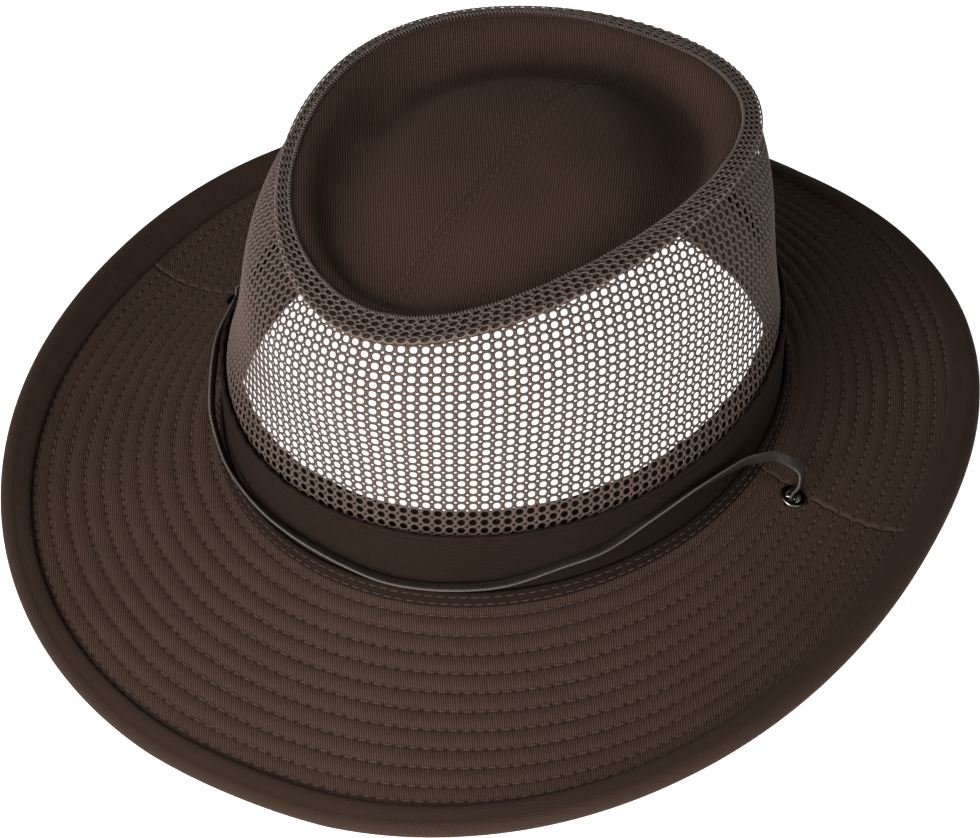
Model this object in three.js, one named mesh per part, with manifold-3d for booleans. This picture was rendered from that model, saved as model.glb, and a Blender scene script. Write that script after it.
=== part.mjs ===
// A safari hat at its real size: a quilted brim in two halves with a rolled binding, a net crown
// with a dented two-part tip, a cotton band, a sweatband, two eyelets and a leather chin lace.
// Millimetres, +Z up. The front of the hat looks along -Y, its left side is at +X, and the surface
// that it rests on is at z = 0.
import * as THREE from 'three';
import Module from 'manifold-3d';
import { mergeVertices } from 'three/addons/utils/BufferGeometryUtils.js';

const wasm = await Module();
wasm.setup();

// Space left between neighbouring cloth pieces.
const GAP = 0.3;

// Outside of the cotton band, an oval, and the height of the crown's foot above the surface.
const HEAD = { halfWidth: 88, halfLength: 102.5, height: 25.7 };

// The brim's middle surface runs from the foot to an outer oval. It drops towards the edge all
// around, and its sides curl up again. The front and back stay low over a short flat stretch.
const BRIM = {
  start: 1, halfWidth: 151.5, halfLength: 176.4, roundness: 2.15, frontFlare: 0.05,
  drop: 24.4, curl: 24.5, curlPower: 3.76, flatShare: 0.04, thickness: 2.4, margin: 4.2,
  steps: 20, reaches: [0, 0.08, 0.25, 0.42, 0.58, 0.72, 0.84, 0.92],
};
const BRIM_WIDTH = BRIM.halfWidth - HEAD.halfWidth;
const SEAM_ANGLE = THREE.MathUtils.degToRad(2);
const BINDING = {
  width: 9.5, thickness: 1.3, clearance: 0.45, frameReach: 0.98, hemTaper: 0.5, pressed: 0.8,
};

// Cloth bands that stand on the brim's inner margin, from the outside in.
const STRIP = { height: 5.7, topThickness: 1.6, footThickness: 2.9, rounding: 0.5 };
const BAND = { height: 28.3, thickness: 1.2 };
const WALL = { thickness: 1, netStart: 33, netEnd: 0.9, bulge: [3.8, -2.3, -0.6], bulgePower: 2 };
const SWEATBAND = { height: 35, thickness: 1, lean: 3.5, bendShare: 0.6 };

// The crown's rim: its half width and height change from the front over the sides to the back.
const RIM = {
  halfWidth: [69.5, 8.1, -2.4], centre: 5.6, halfLength: 99.1, height: [99, -8, -11.3],
};
const TRIM = { reaches: [0.98, 0.95, 0.93], thickness: 1.2, skirt: 2.4, rounding: 0.9 };

// The tip's groove runs around inside the rim. It is shallow at the front and deep at the back.
// Each row gives a share of the way from the centre to the rim, and the share of the groove's
// depth there.
const TIP = { thickness: 1.2, centreHeight: 98.5, groove: [13, 4.35, -3.85] };
const GROOVE_ROWS = [
  { reach: 0, depth: 0 },
  { reach: 0.3, depth: 0.01 },
  { reach: 0.45, depth: 0.18 },
  { reach: 0.58, depth: 0.6 },
  { reach: 0.68, depth: 0.92 },
  { reach: 0.77, depth: 1 },
  { reach: 0.84, depth: 0.8 },
  { reach: 0.9, depth: 0.27 },
  { reach: 0.95, depth: 0.05 },
  { reach: 1, depth: 0 },
];

const EYELET = {
  outerRadius: 4.5, holeRadius: 2.6, flange: 0.8, wall: 0.6, sides: 16, reach: 0.228, boreLength: 12,
  angle: THREE.MathUtils.degToRad(0.3),
};
const NET = { columns: 20, rows: 5, ribShare: 0.3 };
const CORD = { diameter: 2.7, sides: 8, overSteps: 48, underSteps: 44 };

const MATERIALS = {
  twill: new THREE.MeshStandardMaterial({ color: 0x3a2d26, roughness: 0.9, metalness: 0 }),
  net: new THREE.MeshStandardMaterial({ color: 0x5a4e49, roughness: 0.7, metalness: 0 }),
  lining: new THREE.MeshStandardMaterial({ color: 0x241c19, roughness: 0.95, metalness: 0 }),
  leather: new THREE.MeshStandardMaterial({ color: 0x3b322f, roughness: 0.5, metalness: 0 }),
  metal: new THREE.MeshStandardMaterial({ color: 0x6e655f, roughness: 0.35, metalness: 1 }),
};

const hat = new THREE.Group();

function addPiece(name, geometry, material) {
  const piece = new THREE.Mesh(geometry, material);
  piece.name = name;
  hat.add(piece);
}

// A quadratic in the sine of the angle: the front is at -1, the sides at 0 and the back at 1.
function frontToBack([side, slope, bend], angle) {
  const sine = Math.sin(angle);
  return side + slope * sine + bend * sine * sine;
}

// A point beside the foot oval, at a distance outward from the band's outside.
function footPoint(angle, outward, height) {
  const normal = new THREE.Vector3(
    Math.cos(angle) / HEAD.halfWidth, Math.sin(angle) / HEAD.halfLength, 0,
  ).normalize();
  return new THREE.Vector3(
    HEAD.halfWidth * Math.cos(angle), HEAD.halfLength * Math.sin(angle), HEAD.height + height,
  ).addScaledVector(normal, outward);
}

// A point of the brim's middle surface: reach 0 is the foot, reach 1 the outer edge.
function brimMiddle(angle, reach) {
  const cosine = Math.cos(angle);
  const sine = Math.sin(angle);
  const power = BRIM.roundness;
  const round = (Math.abs(cosine) ** power + Math.abs(sine) ** power) ** (-1 / power);
  const inner = new THREE.Vector3(
    (HEAD.halfWidth + BRIM.start) * cosine, (HEAD.halfLength + BRIM.start) * sine, 0,
  );
  const outer = new THREE.Vector3(
    BRIM.halfWidth * cosine * round * (1 - BRIM.frontFlare * sine), BRIM.halfLength * sine * round, 0,
  );
  const side = Math.max(cosine * cosine - BRIM.flatShare, 0) / (1 - BRIM.flatShare);
  const lift = reach > 0 ? BRIM.curl * side * reach ** BRIM.curlPower - BRIM.drop * reach : 0;
  const point = inner.lerp(outer, reach);
  point.z = HEAD.height + lift;
  return point;
}

// The unit directions of the brim there: out along the surface, and up from it.
function brimFrame(angle, reach) {
  const step = 0.01;
  const out = brimMiddle(angle, reach + step).sub(brimMiddle(angle, reach)).normalize();
  const along = brimMiddle(angle + step, reach).sub(brimMiddle(angle - step, reach)).normalize();
  const up = new THREE.Vector3().crossVectors(out, along).normalize();
  return { out, up };
}

function brimPoint(angle, reach, lift) {
  return brimMiddle(angle, reach).addScaledVector(brimFrame(angle, reach).up, lift);
}

// The rim, and points set in from it towards the crown's centre.
function rimPoint(angle, inset, height) {
  const rim = new THREE.Vector3(
    frontToBack(RIM.halfWidth, angle) * Math.cos(angle),
    RIM.centre + RIM.halfLength * Math.sin(angle),
    HEAD.height + frontToBack(RIM.height, angle) + height,
  );
  const inward = new THREE.Vector3(-rim.x, RIM.centre - rim.y, 0).normalize();
  return rim.addScaledVector(inward, inset);
}

// The crown's wall stands straight behind the band, bulges above it and leans in to the rim.
function wallPoint(angle, height, outward) {
  const top = rimPoint(angle, TRIM.thickness + GAP - outward, -TIP.thickness - TRIM.thickness - 2 * GAP);
  const inset = outward - BAND.thickness - GAP;
  const foot = footPoint(angle, inset, 0);
  const above = Math.max(height - BAND.height, 0) / (top.z - HEAD.height - BAND.height);
  const bulge = frontToBack(WALL.bulge, angle) * Math.sin(Math.PI * Math.min(above, 1) ** WALL.bulgePower);
  const point = footPoint(angle, inset + bulge, height);
  point.x += (top.x - foot.x) * above;
  point.y += (top.y - foot.y) * above;
  return point;
}

function wallTop(angle) {
  return rimPoint(angle, 0, -TIP.thickness - TRIM.thickness - 2 * GAP).z - HEAD.height;
}

function grooveDepth(reach) {
  const next = Math.max(GROOVE_ROWS.findIndex((row) => row.reach >= reach), 1);
  const low = GROOVE_ROWS[next - 1];
  const high = GROOVE_ROWS[next];
  const share = (reach - low.reach) / (high.reach - low.reach);
  return low.depth + (high.depth - low.depth) * share;
}

// The tip's upper surface: reach 0 is the crown's centre, reach 1 its sewn edge under the trim.
function tipPoint(angle, reach, lift) {
  const edge = rimPoint(angle, TRIM.thickness + GAP, -TRIM.thickness - GAP);
  const centre = new THREE.Vector3(0, RIM.centre, HEAD.height + TIP.centreHeight - TRIM.thickness);
  const point = centre.clone().lerp(edge, reach);
  const height = THREE.MathUtils.lerp(centre.z, edge.z, reach * reach);
  point.z = height - frontToBack(TIP.groove, angle) * grooveDepth(reach) + lift;
  return point;
}

// A solid swept through ribbons. Each ribbon has an upper row and a lower row of points, and the
// sweep closes on itself or ends in two flat caps.
function ribbonSolid(ribbons, closed) {
  const count = ribbons[0].upper.length;
  const ring = 2 * count;
  const positions = [];
  for (const { upper, lower } of ribbons) {
    for (const point of upper) positions.push(point.x, point.y, point.z);
    for (const point of [...lower].reverse()) positions.push(point.x, point.y, point.z);
  }
  const index = [];
  const last = closed ? ribbons.length : ribbons.length - 1;
  for (let i = 0; i < last; i += 1) {
    const here = i * ring;
    const there = ((i + 1) % ribbons.length) * ring;
    for (let j = 0; j < ring; j += 1) {
      const next = (j + 1) % ring;
      index.push(here + j, there + j, there + next, here + j, there + next, here + next);
    }
  }
  if (!closed) {
    const end = (ribbons.length - 1) * ring;
    for (let j = 0; j < count - 1; j += 1) {
      const mirror = ring - 1 - j;
      index.push(j, j + 1, mirror - 1, j, mirror - 1, mirror);
      index.push(end + j, end + mirror - 1, end + j + 1, end + j, end + mirror, end + mirror - 1);
    }
  }
  return solidGeometry(positions, index);
}

// Points that coincide are merged, triangles that close up to nothing are dropped, and the faces
// are turned to look outwards.
function solidGeometry(positions, index) {
  const loose = new THREE.BufferGeometry();
  loose.setAttribute('position', new THREE.Float32BufferAttribute(positions, 3));
  loose.setIndex(index);
  const merged = mergeVertices(loose, 1e-4);
  const place = merged.getAttribute('position');
  const corner = (i) => new THREE.Vector3().fromBufferAttribute(place, i);
  const old = merged.getIndex().array;
  const kept = [];
  let volume = 0;
  for (let i = 0; i < old.length; i += 3) {
    const [a, b, c] = [old[i], old[i + 1], old[i + 2]];
    if (a === b || b === c || c === a) continue;
    kept.push([a, b, c]);
    volume += corner(a).dot(corner(b).cross(corner(c)));
  }
  merged.setIndex(kept.flatMap(([a, b, c]) => (volume > 0 ? [a, b, c] : [a, c, b])));
  merged.computeVertexNormals();
  return merged;
}

function toManifold(geometry) {
  const bare = geometry.clone();
  for (const name of ['normal', 'uv']) bare.deleteAttribute(name);
  const merged = mergeVertices(bare, 1e-4);
  return new wasm.Manifold(new wasm.Mesh({
    numProp: 3,
    vertProperties: new Float32Array(merged.getAttribute('position').array),
    triVerts: new Uint32Array(merged.getIndex().array),
  }));
}

function fromManifold(solid) {
  const mesh = solid.getMesh();
  const geometry = new THREE.BufferGeometry();
  geometry.setAttribute('position', new THREE.Float32BufferAttribute(mesh.vertProperties, 3));
  geometry.setIndex([...mesh.triVerts]);
  geometry.computeVertexNormals();
  return geometry;
}

// Evenly spaced angles from one to another. A full turn leaves out its last, repeated angle.
function anglesBetween(from, to, steps) {
  return Array.from({ length: steps + 1 }, (_, i) => from + ((to - from) * i) / steps);
}

function fullTurn(steps) {
  return anglesBetween(0, 2 * Math.PI, steps).slice(0, steps);
}

// The brim's halves run from side seam to side seam, and the binding around both uses their angles.
const FRONT_ANGLES = anglesBetween(Math.PI - SEAM_ANGLE, 2 * Math.PI + SEAM_ANGLE, BRIM.steps);
const BACK_ANGLES = anglesBetween(2 * Math.PI + SEAM_ANGLE, 3 * Math.PI - SEAM_ANGLE, BRIM.steps);
const EDGE_ANGLES = [...FRONT_ANGLES.slice(1), ...BACK_ANGLES.slice(1)];

// The crown's rings share the net's angles, so that their facets lie side by side. The net's ribs
// are narrower than its gaps.
const CROWN_ANGLES = fullTurn(2 * NET.columns).map(
  (angle, i) => angle + (i % 2 ? 1 : -1) * NET.ribShare * (Math.PI / (2 * NET.columns)),
);

// Where the eyelets sit, one just in front of each side seam.
function eyeletPlaces() {
  return [
    { name: 'eyelet_left', angle: EYELET.angle },
    { name: 'eyelet_right', angle: Math.PI - EYELET.angle },
  ];
}

// A body turned from the Z axis to stand square on the brim at an eyelet.
function standOnBrim(geometry, angle) {
  const { up } = brimFrame(angle, EYELET.reach);
  const turn = new THREE.Quaternion().setFromUnitVectors(new THREE.Vector3(0, 0, 1), up);
  const place = brimMiddle(angle, EYELET.reach);
  return geometry.applyMatrix4(new THREE.Matrix4().compose(place, turn, new THREE.Vector3(1, 1, 1)));
}

function eyeletBore(angle) {
  const radius = EYELET.holeRadius + EYELET.wall + GAP;
  const drill = new THREE.CylinderGeometry(radius, radius, EYELET.boreLength, EYELET.sides);
  return standOnBrim(drill.rotateX(Math.PI / 2), angle);
}

// Both brim halves end short of the side seams by half a gap, and are pierced for the eyelets.
function brimHalf(angles, shift) {
  const innerReach = -(BRIM.margin + BRIM.start) / BRIM_WIDTH;
  const hemDepth = BINDING.thickness + 2 * BINDING.clearance + BRIM.thickness / 2;
  const reaches = [innerReach, ...BRIM.reaches, 1 - hemDepth / BRIM_WIDTH];
  const ribbons = angles.map((angle) => {
    const row = (lift) => reaches.map((reach) => {
      const point = brimPoint(angle, reach, lift);
      point.y += shift;
      return point;
    });
    return { upper: row(BRIM.thickness / 2), lower: row(-BRIM.thickness / 2) };
  });
  const solid = toManifold(ribbonSolid(ribbons, false));
  const bored = eyeletPlaces().reduce(
    (rest, { angle }) => rest.subtract(toManifold(eyeletBore(angle))), solid,
  );
  return fromManifold(bored);
}

// The binding wraps the brim's edge in a rounded hem. Its underside is flattened where it rests.
function bindingRibbon(angle) {
  const inner = BRIM.thickness / 2 + BINDING.clearance;
  const outer = inner + BINDING.thickness;
  const { out, up } = brimFrame(angle, BINDING.frameReach);
  const nose = brimMiddle(angle, 1).addScaledVector(out, -outer);
  const width = brimMiddle(angle, 1).distanceTo(brimMiddle(angle, 0));
  const roll = (radius, turn) => nose.clone()
    .addScaledVector(out, radius * Math.cos(turn))
    .addScaledVector(up, radius * Math.sin(turn));
  const leg = (inset, lift) => brimPoint(angle, 1 - inset / width, lift);
  const middleInset = (outer + BINDING.width) / 2;
  const wrap = (radius, legLift) => [
    leg(BINDING.width, legLift),
    leg(middleInset, radius),
    ...anglesBetween(Math.PI / 2, -Math.PI / 2, 4).map((turn) => roll(radius, turn)),
    leg(middleInset, -radius),
    leg(BINDING.width, -legLift),
  ];
  const flatten = (points, floor) => points.map((point) => {
    point.z = Math.max(point.z, floor);
    return point;
  });
  return {
    upper: flatten(wrap(outer, outer - BINDING.hemTaper), 0),
    lower: flatten(wrap(inner, inner), BINDING.pressed),
  };
}

function ring(angles, ribbonAt) {
  return ribbonSolid(angles.map(ribbonAt), true);
}

const brimTop = BRIM.thickness / 2 + GAP;

function stripRibbon(angle) {
  const face = GAP + STRIP.topThickness;
  const middle = face + STRIP.footThickness / 2;
  return {
    upper: [
      footPoint(angle, face - STRIP.rounding, STRIP.height),
      footPoint(angle, face, STRIP.height - STRIP.rounding),
      footPoint(angle, middle, STRIP.height / 2),
      brimPoint(angle, STRIP.footThickness / BRIM_WIDTH, brimTop),
    ],
    lower: [
      footPoint(angle, GAP, STRIP.height),
      footPoint(angle, GAP, STRIP.height / 2),
      footPoint(angle, GAP, brimTop),
      footPoint(angle, BRIM.start, brimTop),
    ],
  };
}

function bandRibbon(angle) {
  return {
    upper: [footPoint(angle, 0, brimTop), footPoint(angle, 0, BAND.height)],
    lower: [footPoint(angle, -BAND.thickness, brimTop), footPoint(angle, -BAND.thickness, BAND.height)],
  };
}

function sweatbandRibbon(angle) {
  const outer = -BAND.thickness - WALL.thickness - 2 * GAP;
  const lean = (height) => SWEATBAND.lean * (height / SWEATBAND.height) ** 2;
  const heights = [brimTop, SWEATBAND.height * SWEATBAND.bendShare, SWEATBAND.height];
  return {
    upper: heights.map((height) => footPoint(angle, outer - lean(height), height)),
    lower: heights.map((height) => footPoint(angle, outer - lean(height) - SWEATBAND.thickness, height)),
  };
}

// The trim hangs over the wall's top and runs in over the tip's sewn edge.
function trimRibbon(angle) {
  const skirtEnd = wallTop(angle) - TRIM.skirt;
  const overTip = (lift) => TRIM.reaches.map((reach) => tipPoint(angle, reach, lift));
  return {
    upper: [
      wallPoint(angle, skirtEnd, GAP + TRIM.thickness),
      rimPoint(angle, 0, -TRIM.rounding),
      rimPoint(angle, TRIM.rounding, 0),
      ...overTip(TRIM.thickness + GAP),
    ],
    lower: [
      wallPoint(angle, skirtEnd, GAP),
      rimPoint(angle, TRIM.thickness, -2 * TRIM.thickness),
      rimPoint(angle, TRIM.thickness, -TRIM.thickness),
      ...overTip(GAP),
    ],
  };
}

// Half of the tip, from the centre seam out to the rim. The half around side 1 is at +X.
function tipHalf(side) {
  const seamGap = GAP / 2;
  const quarter = Math.PI / 2;
  const middle = side > 0 ? 0 : Math.PI;
  const inside = [...CROWN_ANGLES, ...CROWN_ANGLES.map((angle) => angle - 2 * Math.PI)]
    .filter((angle) => Math.abs(angle - middle) < quarter)
    .sort((a, b) => a - b);
  const ribbons = [middle - quarter, ...inside, middle + quarter].map((angle) => {
    const row = (lift) => GROOVE_ROWS.map(({ reach }) => {
      const point = tipPoint(angle, reach, lift);
      point.x = side * seamGap + point.x * (1 - seamGap / frontToBack(RIM.halfWidth, angle));
      return point;
    });
    return { upper: row(0), lower: row(-TIP.thickness) };
  });
  return ribbonSolid(ribbons, false);
}

// The net wall: a grid of cells around the crown, with every second cell of the net rows open.
function netWall() {
  const columns = 2 * NET.columns;
  const netRows = 2 * NET.rows - 1;
  const heightsAt = (angle) => {
    const netTop = THREE.MathUtils.lerp(WALL.netStart, wallTop(angle), WALL.netEnd);
    const net = Array.from({ length: netRows + 1 }, (_, i) => (
      THREE.MathUtils.lerp(WALL.netStart, netTop, i / netRows)
    ));
    return [brimTop, BAND.height, ...net, wallTop(angle)];
  };
  const positions = [];
  for (const outward of [0, -WALL.thickness]) {
    for (const angle of CROWN_ANGLES) {
      for (const height of heightsAt(angle)) {
        const point = wallPoint(angle, height, outward);
        positions.push(point.x, point.y, point.z);
      }
    }
  }
  const levels = heightsAt(0).length;
  const vertex = (layer, i, j) => (layer * columns + (i % columns)) * levels + j;
  const isOpen = (i, j) => {
    const inNet = j >= 2 && j < 2 + netRows && (j - 2) % 2 === 0;
    return inNet && ((i + columns) % columns) % 2 === 1;
  };
  const index = [];
  const quad = (a, b, c, d) => index.push(a, b, c, a, c, d);
  for (let i = 0; i < columns; i += 1) {
    for (let j = 0; j < levels - 1; j += 1) {
      if (isOpen(i, j)) continue;
      quad(vertex(0, i, j), vertex(0, i + 1, j), vertex(0, i + 1, j + 1), vertex(0, i, j + 1));
      quad(vertex(1, i, j), vertex(1, i, j + 1), vertex(1, i + 1, j + 1), vertex(1, i + 1, j));
      if (isOpen(i - 1, j)) {
        quad(vertex(0, i, j), vertex(0, i, j + 1), vertex(1, i, j + 1), vertex(1, i, j));
      }
      if (isOpen(i + 1, j)) {
        quad(vertex(0, i + 1, j), vertex(1, i + 1, j), vertex(1, i + 1, j + 1), vertex(0, i + 1, j + 1));
      }
      if (j === 0 || isOpen(i, j - 1)) {
        quad(vertex(0, i, j), vertex(1, i, j), vertex(1, i + 1, j), vertex(0, i + 1, j));
      }
      if (j === levels - 2 || isOpen(i, j + 1)) {
        quad(vertex(0, i, j + 1), vertex(0, i + 1, j + 1), vertex(1, i + 1, j + 1), vertex(1, i, j + 1));
      }
    }
  }
  return solidGeometry(positions, index);
}

// A metal eyelet: a barrel through the brim with a flange above and one below.
function eyelet(angle) {
  const { outerRadius, holeRadius, flange, wall } = EYELET;
  const face = BRIM.thickness / 2 + GAP;
  const crest = (holeRadius + outerRadius) / 2;
  const barrel = holeRadius + wall;
  const profile = [
    [holeRadius, -face - flange], [crest, -face - flange], [outerRadius, -face], [barrel, -face],
    [barrel, face], [outerRadius, face], [crest, face + flange], [holeRadius, face + flange / 2],
    [holeRadius, -face - flange],
  ].map(([radius, height]) => new THREE.Vector2(radius, height));
  const lathe = new THREE.LatheGeometry(profile, EYELET.sides).rotateX(Math.PI / 2);
  const stood = standOnBrim(lathe, angle);
  for (const name of ['normal', 'uv']) stood.deleteAttribute(name);
  return solidGeometry([...stood.getAttribute('position').array], [...stood.getIndex().array]);
}

// The chin lace. Each route starts inside the left eyelet and is a list of points chosen by hand:
// the first curls out of the eyelet, rides up on the band, lies low at the front and stands off
// the band on the far side. The second goes below the brim and around the back between the same
// two eyelets. Columns: x, y, z.
const OVER = [
  [103.3, 0.6, 20.6], [104.2, 0.5, 24.4], [106.2, 0.4, 28.4], [105.4, 1.6, 33], [101.5, 1, 36],
  [97.8, -0.9, 38], [94.5, -6, 40], [92, -10.6, 41.5], [88.9, -20.5, 43.5], [84.6, -35.2, 46],
  [78.2, -51, 45], [69.2, -67, 41], [60.6, -76.7, 39.3], [47.3, -89.2, 36], [35, -96.8, 35.1],
  [22.2, -101.7, 34.6], [11.9, -104, 34.8], [0.1, -104.9, 36.4], [-12.3, -103.9, 37.4],
  [-26.6, -100.3, 37.5], [-36.2, -96.1, 37.1], [-45.2, -90.8, 36.3], [-54.5, -84.3, 36],
  [-63.2, -76.2, 37], [-69.5, -69.5, 40], [-73.9, -62.3, 43], [-78.4, -53.5, 45.5],
  [-82.9, -43.1, 46.5], [-87.8, -26, 45], [-90.3, -17, 43], [-93, -9, 40], [-96, -4.5, 37.5],
  [-99, -2, 34.5], [-101.7, -0.4, 31.5], [-103.3, 0.4, 28], [-103.6, 0.5, 24.4], [-103.3, 0.6, 20.6],
];
const UNDER_HALF = [
  [103.2, 0.6, 20], [102.6, 1.6, 15.5], [103.6, 8, 7.5], [108, 20, 2.8], [111.5, 36, 1.5],
  [111.5, 54, 1.4], [107, 74, 1.4], [98, 93, 1.4], [84.5, 110.5, 1.4], [66, 125, 1.4],
  [44.5, 135, 1.4], [22, 140.2, 1.4],
];
const UNDER_MIDDLE = [[0, 141.8, 1.4]];

function mirrored([x, y, z]) {
  return [-x, y, z];
}

const UNDER = [...UNDER_HALF, ...UNDER_MIDDLE, ...[...UNDER_HALF].reverse().map(mirrored)];

function lace(route, steps) {
  const outline = new THREE.Shape();
  for (const turn of fullTurn(CORD.sides)) {
    const [x, y] = [Math.cos(turn) * CORD.diameter / 2, Math.sin(turn) * CORD.diameter / 2];
    if (turn === 0) outline.moveTo(x, y);
    else outline.lineTo(x, y);
  }
  const points = route.map(([x, y, z]) => new THREE.Vector3(x, y, z));
  const extrudePath = new THREE.CatmullRomCurve3(points, false, 'centripetal');
  const tube = new THREE.ExtrudeGeometry(outline, { steps, bevelEnabled: false, extrudePath });
  for (const name of ['normal', 'uv']) tube.deleteAttribute(name);
  const merged = mergeVertices(tube, 1e-4);
  return solidGeometry([...merged.getAttribute('position').array], [...merged.getIndex().array]);
}

addPiece('brim_front', brimHalf(FRONT_ANGLES, -GAP / 2), MATERIALS.twill);
addPiece('brim_back', brimHalf(BACK_ANGLES, GAP / 2), MATERIALS.twill);
addPiece('brim_binding', ring(EDGE_ANGLES, bindingRibbon), MATERIALS.twill);
addPiece('foot_strip', ring(CROWN_ANGLES, stripRibbon), MATERIALS.twill);
addPiece('crown_band', ring(CROWN_ANGLES, bandRibbon), MATERIALS.twill);
addPiece('sweatband', ring(CROWN_ANGLES, sweatbandRibbon), MATERIALS.lining);
addPiece('crown_mesh', netWall(), MATERIALS.net);
addPiece('crown_trim', ring(CROWN_ANGLES, trimRibbon), MATERIALS.net);
addPiece('crown_tip_left', tipHalf(1), MATERIALS.twill);
addPiece('crown_tip_right', tipHalf(-1), MATERIALS.twill);
for (const { name, angle } of eyeletPlaces()) addPiece(name, eyelet(angle), MATERIALS.metal);
addPiece('chin_cord_over', lace(OVER, CORD.overSteps), MATERIALS.leather);
addPiece('chin_cord_under', lace(UNDER, CORD.underSteps), MATERIALS.leather);

export default hat;
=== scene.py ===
# %% [markdown]
# # A safari hat with a net crown
#
# This lesson builds the looks of a hat around a fixed, measured CAD model. The hat is sewn from
# brown cotton twill: a wide quilted brim, a band, and a dented tip. Between band and tip the crown
# is an open net. A thin leather chin lace runs through two eyelets and lies over the front.
#
# The CAD model, called the frame, gives every piece its place and size. The script never moves it.
# It makes finer pieces in the same place and hides the CAD pieces that they stand for.

# %% Load the frame and look at its size
import math
from contextlib import contextmanager
from itertools import product

import bpy
import bmesh
import numpy as np
from mathutils import Matrix, Vector


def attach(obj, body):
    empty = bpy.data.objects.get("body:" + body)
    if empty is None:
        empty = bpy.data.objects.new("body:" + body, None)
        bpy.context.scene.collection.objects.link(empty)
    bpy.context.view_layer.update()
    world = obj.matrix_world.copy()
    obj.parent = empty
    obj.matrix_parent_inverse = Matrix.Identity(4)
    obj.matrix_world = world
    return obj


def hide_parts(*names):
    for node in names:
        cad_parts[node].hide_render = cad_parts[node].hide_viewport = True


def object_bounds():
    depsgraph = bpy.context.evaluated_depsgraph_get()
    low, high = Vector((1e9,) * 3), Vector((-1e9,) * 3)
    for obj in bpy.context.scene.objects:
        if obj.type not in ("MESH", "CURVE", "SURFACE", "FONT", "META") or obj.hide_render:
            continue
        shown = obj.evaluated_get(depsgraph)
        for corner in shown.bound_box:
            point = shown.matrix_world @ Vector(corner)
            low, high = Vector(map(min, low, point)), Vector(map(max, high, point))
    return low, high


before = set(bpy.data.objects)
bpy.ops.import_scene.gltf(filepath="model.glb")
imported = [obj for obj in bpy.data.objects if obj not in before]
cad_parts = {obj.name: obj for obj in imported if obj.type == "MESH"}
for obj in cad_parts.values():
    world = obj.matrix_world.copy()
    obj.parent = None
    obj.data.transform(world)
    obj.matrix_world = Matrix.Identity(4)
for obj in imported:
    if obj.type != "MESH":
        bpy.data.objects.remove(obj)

low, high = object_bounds()
cad_size = [round(1000 * (b - a), 1) for a, b in zip(low, high)]
print("CAD box in millimetres:", cad_size)
print("CAD pieces:", sorted(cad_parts))

# %% [markdown]
# ## Camera
#
# The picture that the hat was measured from was taken from the front left of the hat, from above.
# A long lens keeps the perspective weak. The camera's three directions are worked out from two
# angles, with a small roll, and written straight into its matrix. That is easier to check than a
# chain of rotations.

# %% Set up the camera
MM = 0.001
scene = bpy.context.scene


def add_object(name, data):
    """A new object in the scene, which holds a mesh, a lamp or a camera."""
    made = bpy.data.objects.new(name, data)
    scene.collection.objects.link(made)
    return made


def direction(azimuth, elevation):
    """The way from the hat to something around it. Azimuth 0 is in front, growing towards +X."""
    return Vector((math.sin(azimuth) * math.cos(elevation),
                   -math.cos(azimuth) * math.cos(elevation),
                   math.sin(elevation)))


def camera_directions(azimuth, elevation, roll):
    """The camera's right, up and backward directions."""
    back = direction(azimuth, elevation)
    level = Vector((math.cos(azimuth), math.sin(azimuth), 0))
    upright = back.cross(level)
    right = math.cos(roll) * level + math.sin(roll) * upright
    up = -math.sin(roll) * level + math.cos(roll) * upright
    return right, up, back


AIM = Vector((18.47, -44.69, 55.7)) * MM
DISTANCE = 1.0904
right, up, back = camera_directions(azimuth=0.5033, elevation=0.744, roll=-0.0125)
facing = Matrix((right, up, back)).transposed().to_4x4()
camera = add_object("Camera", bpy.data.cameras.new("Camera"))
camera.matrix_world = Matrix.Translation(AIM + DISTANCE * back) @ facing
camera.data.sensor_fit = "HORIZONTAL"
camera.data.sensor_width = 36
camera.data.lens = 127.82
scene.camera = camera
scene.view_settings.view_transform = "Standard"
print("The camera is", round(camera.location.length, 3), "m from the origin")

# %% [markdown]
# ## One helper for every node tree
#
# Shaders and Geometry Nodes are both trees of nodes joined by wires. Written out link by link they
# get long, so a small class wraps one output socket. Python's own signs then build the maths nodes,
# so `2 * height + 1` adds two nodes and joins them.

# %% Wires that work like numbers
class Wire:
    """One output socket of a node, which Python's signs can calculate with."""

    def __init__(self, tree, socket):
        self.tree = tree
        self.socket = socket

    def math(self, operation, *others):
        inputs = {i: value for i, value in enumerate((self, *others))}
        return add_node(self.tree, "ShaderNodeMath", {"operation": operation}, inputs)

    def of(self, name):
        """Another output of the same node."""
        return Wire(self.tree, self.socket.node.outputs[name])

    def axes(self):
        """The three parts of a vector."""
        split = add_node(self.tree, "ShaderNodeSeparateXYZ", {}, {0: self})
        return [split.of(axis) for axis in "XYZ"]

    def __add__(self, other):
        return self.math("ADD", other)

    def __sub__(self, other):
        return self.math("SUBTRACT", other)

    def __mul__(self, other):
        return self.math("MULTIPLY", other)

    def __pow__(self, other):
        return self.math("POWER", other)

    def __rsub__(self, other):
        return add_node(self.tree, "ShaderNodeMath", {"operation": "SUBTRACT"}, {0: other, 1: self})

    __radd__ = __add__
    __rmul__ = __mul__


def add_node(tree, kind, settings=None, inputs=None, output=0):
    """Add a node, set its settings first and then its inputs, and return one output as a wire."""
    node = tree.nodes.new(kind)
    for name, value in (settings or {}).items():
        setattr(node, name, value)
    for name, value in (inputs or {}).items():
        if isinstance(value, Wire):
            tree.links.new(value.socket, node.inputs[name])
        else:
            node.inputs[name].default_value = value
    return Wire(tree, node.outputs[output])


def cosine_wave(wire, period):
    """A wave from 0 to 1 that repeats after a period."""
    return (wire * (2 * math.pi / period)).math("COSINE") * 0.5 + 0.5


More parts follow.
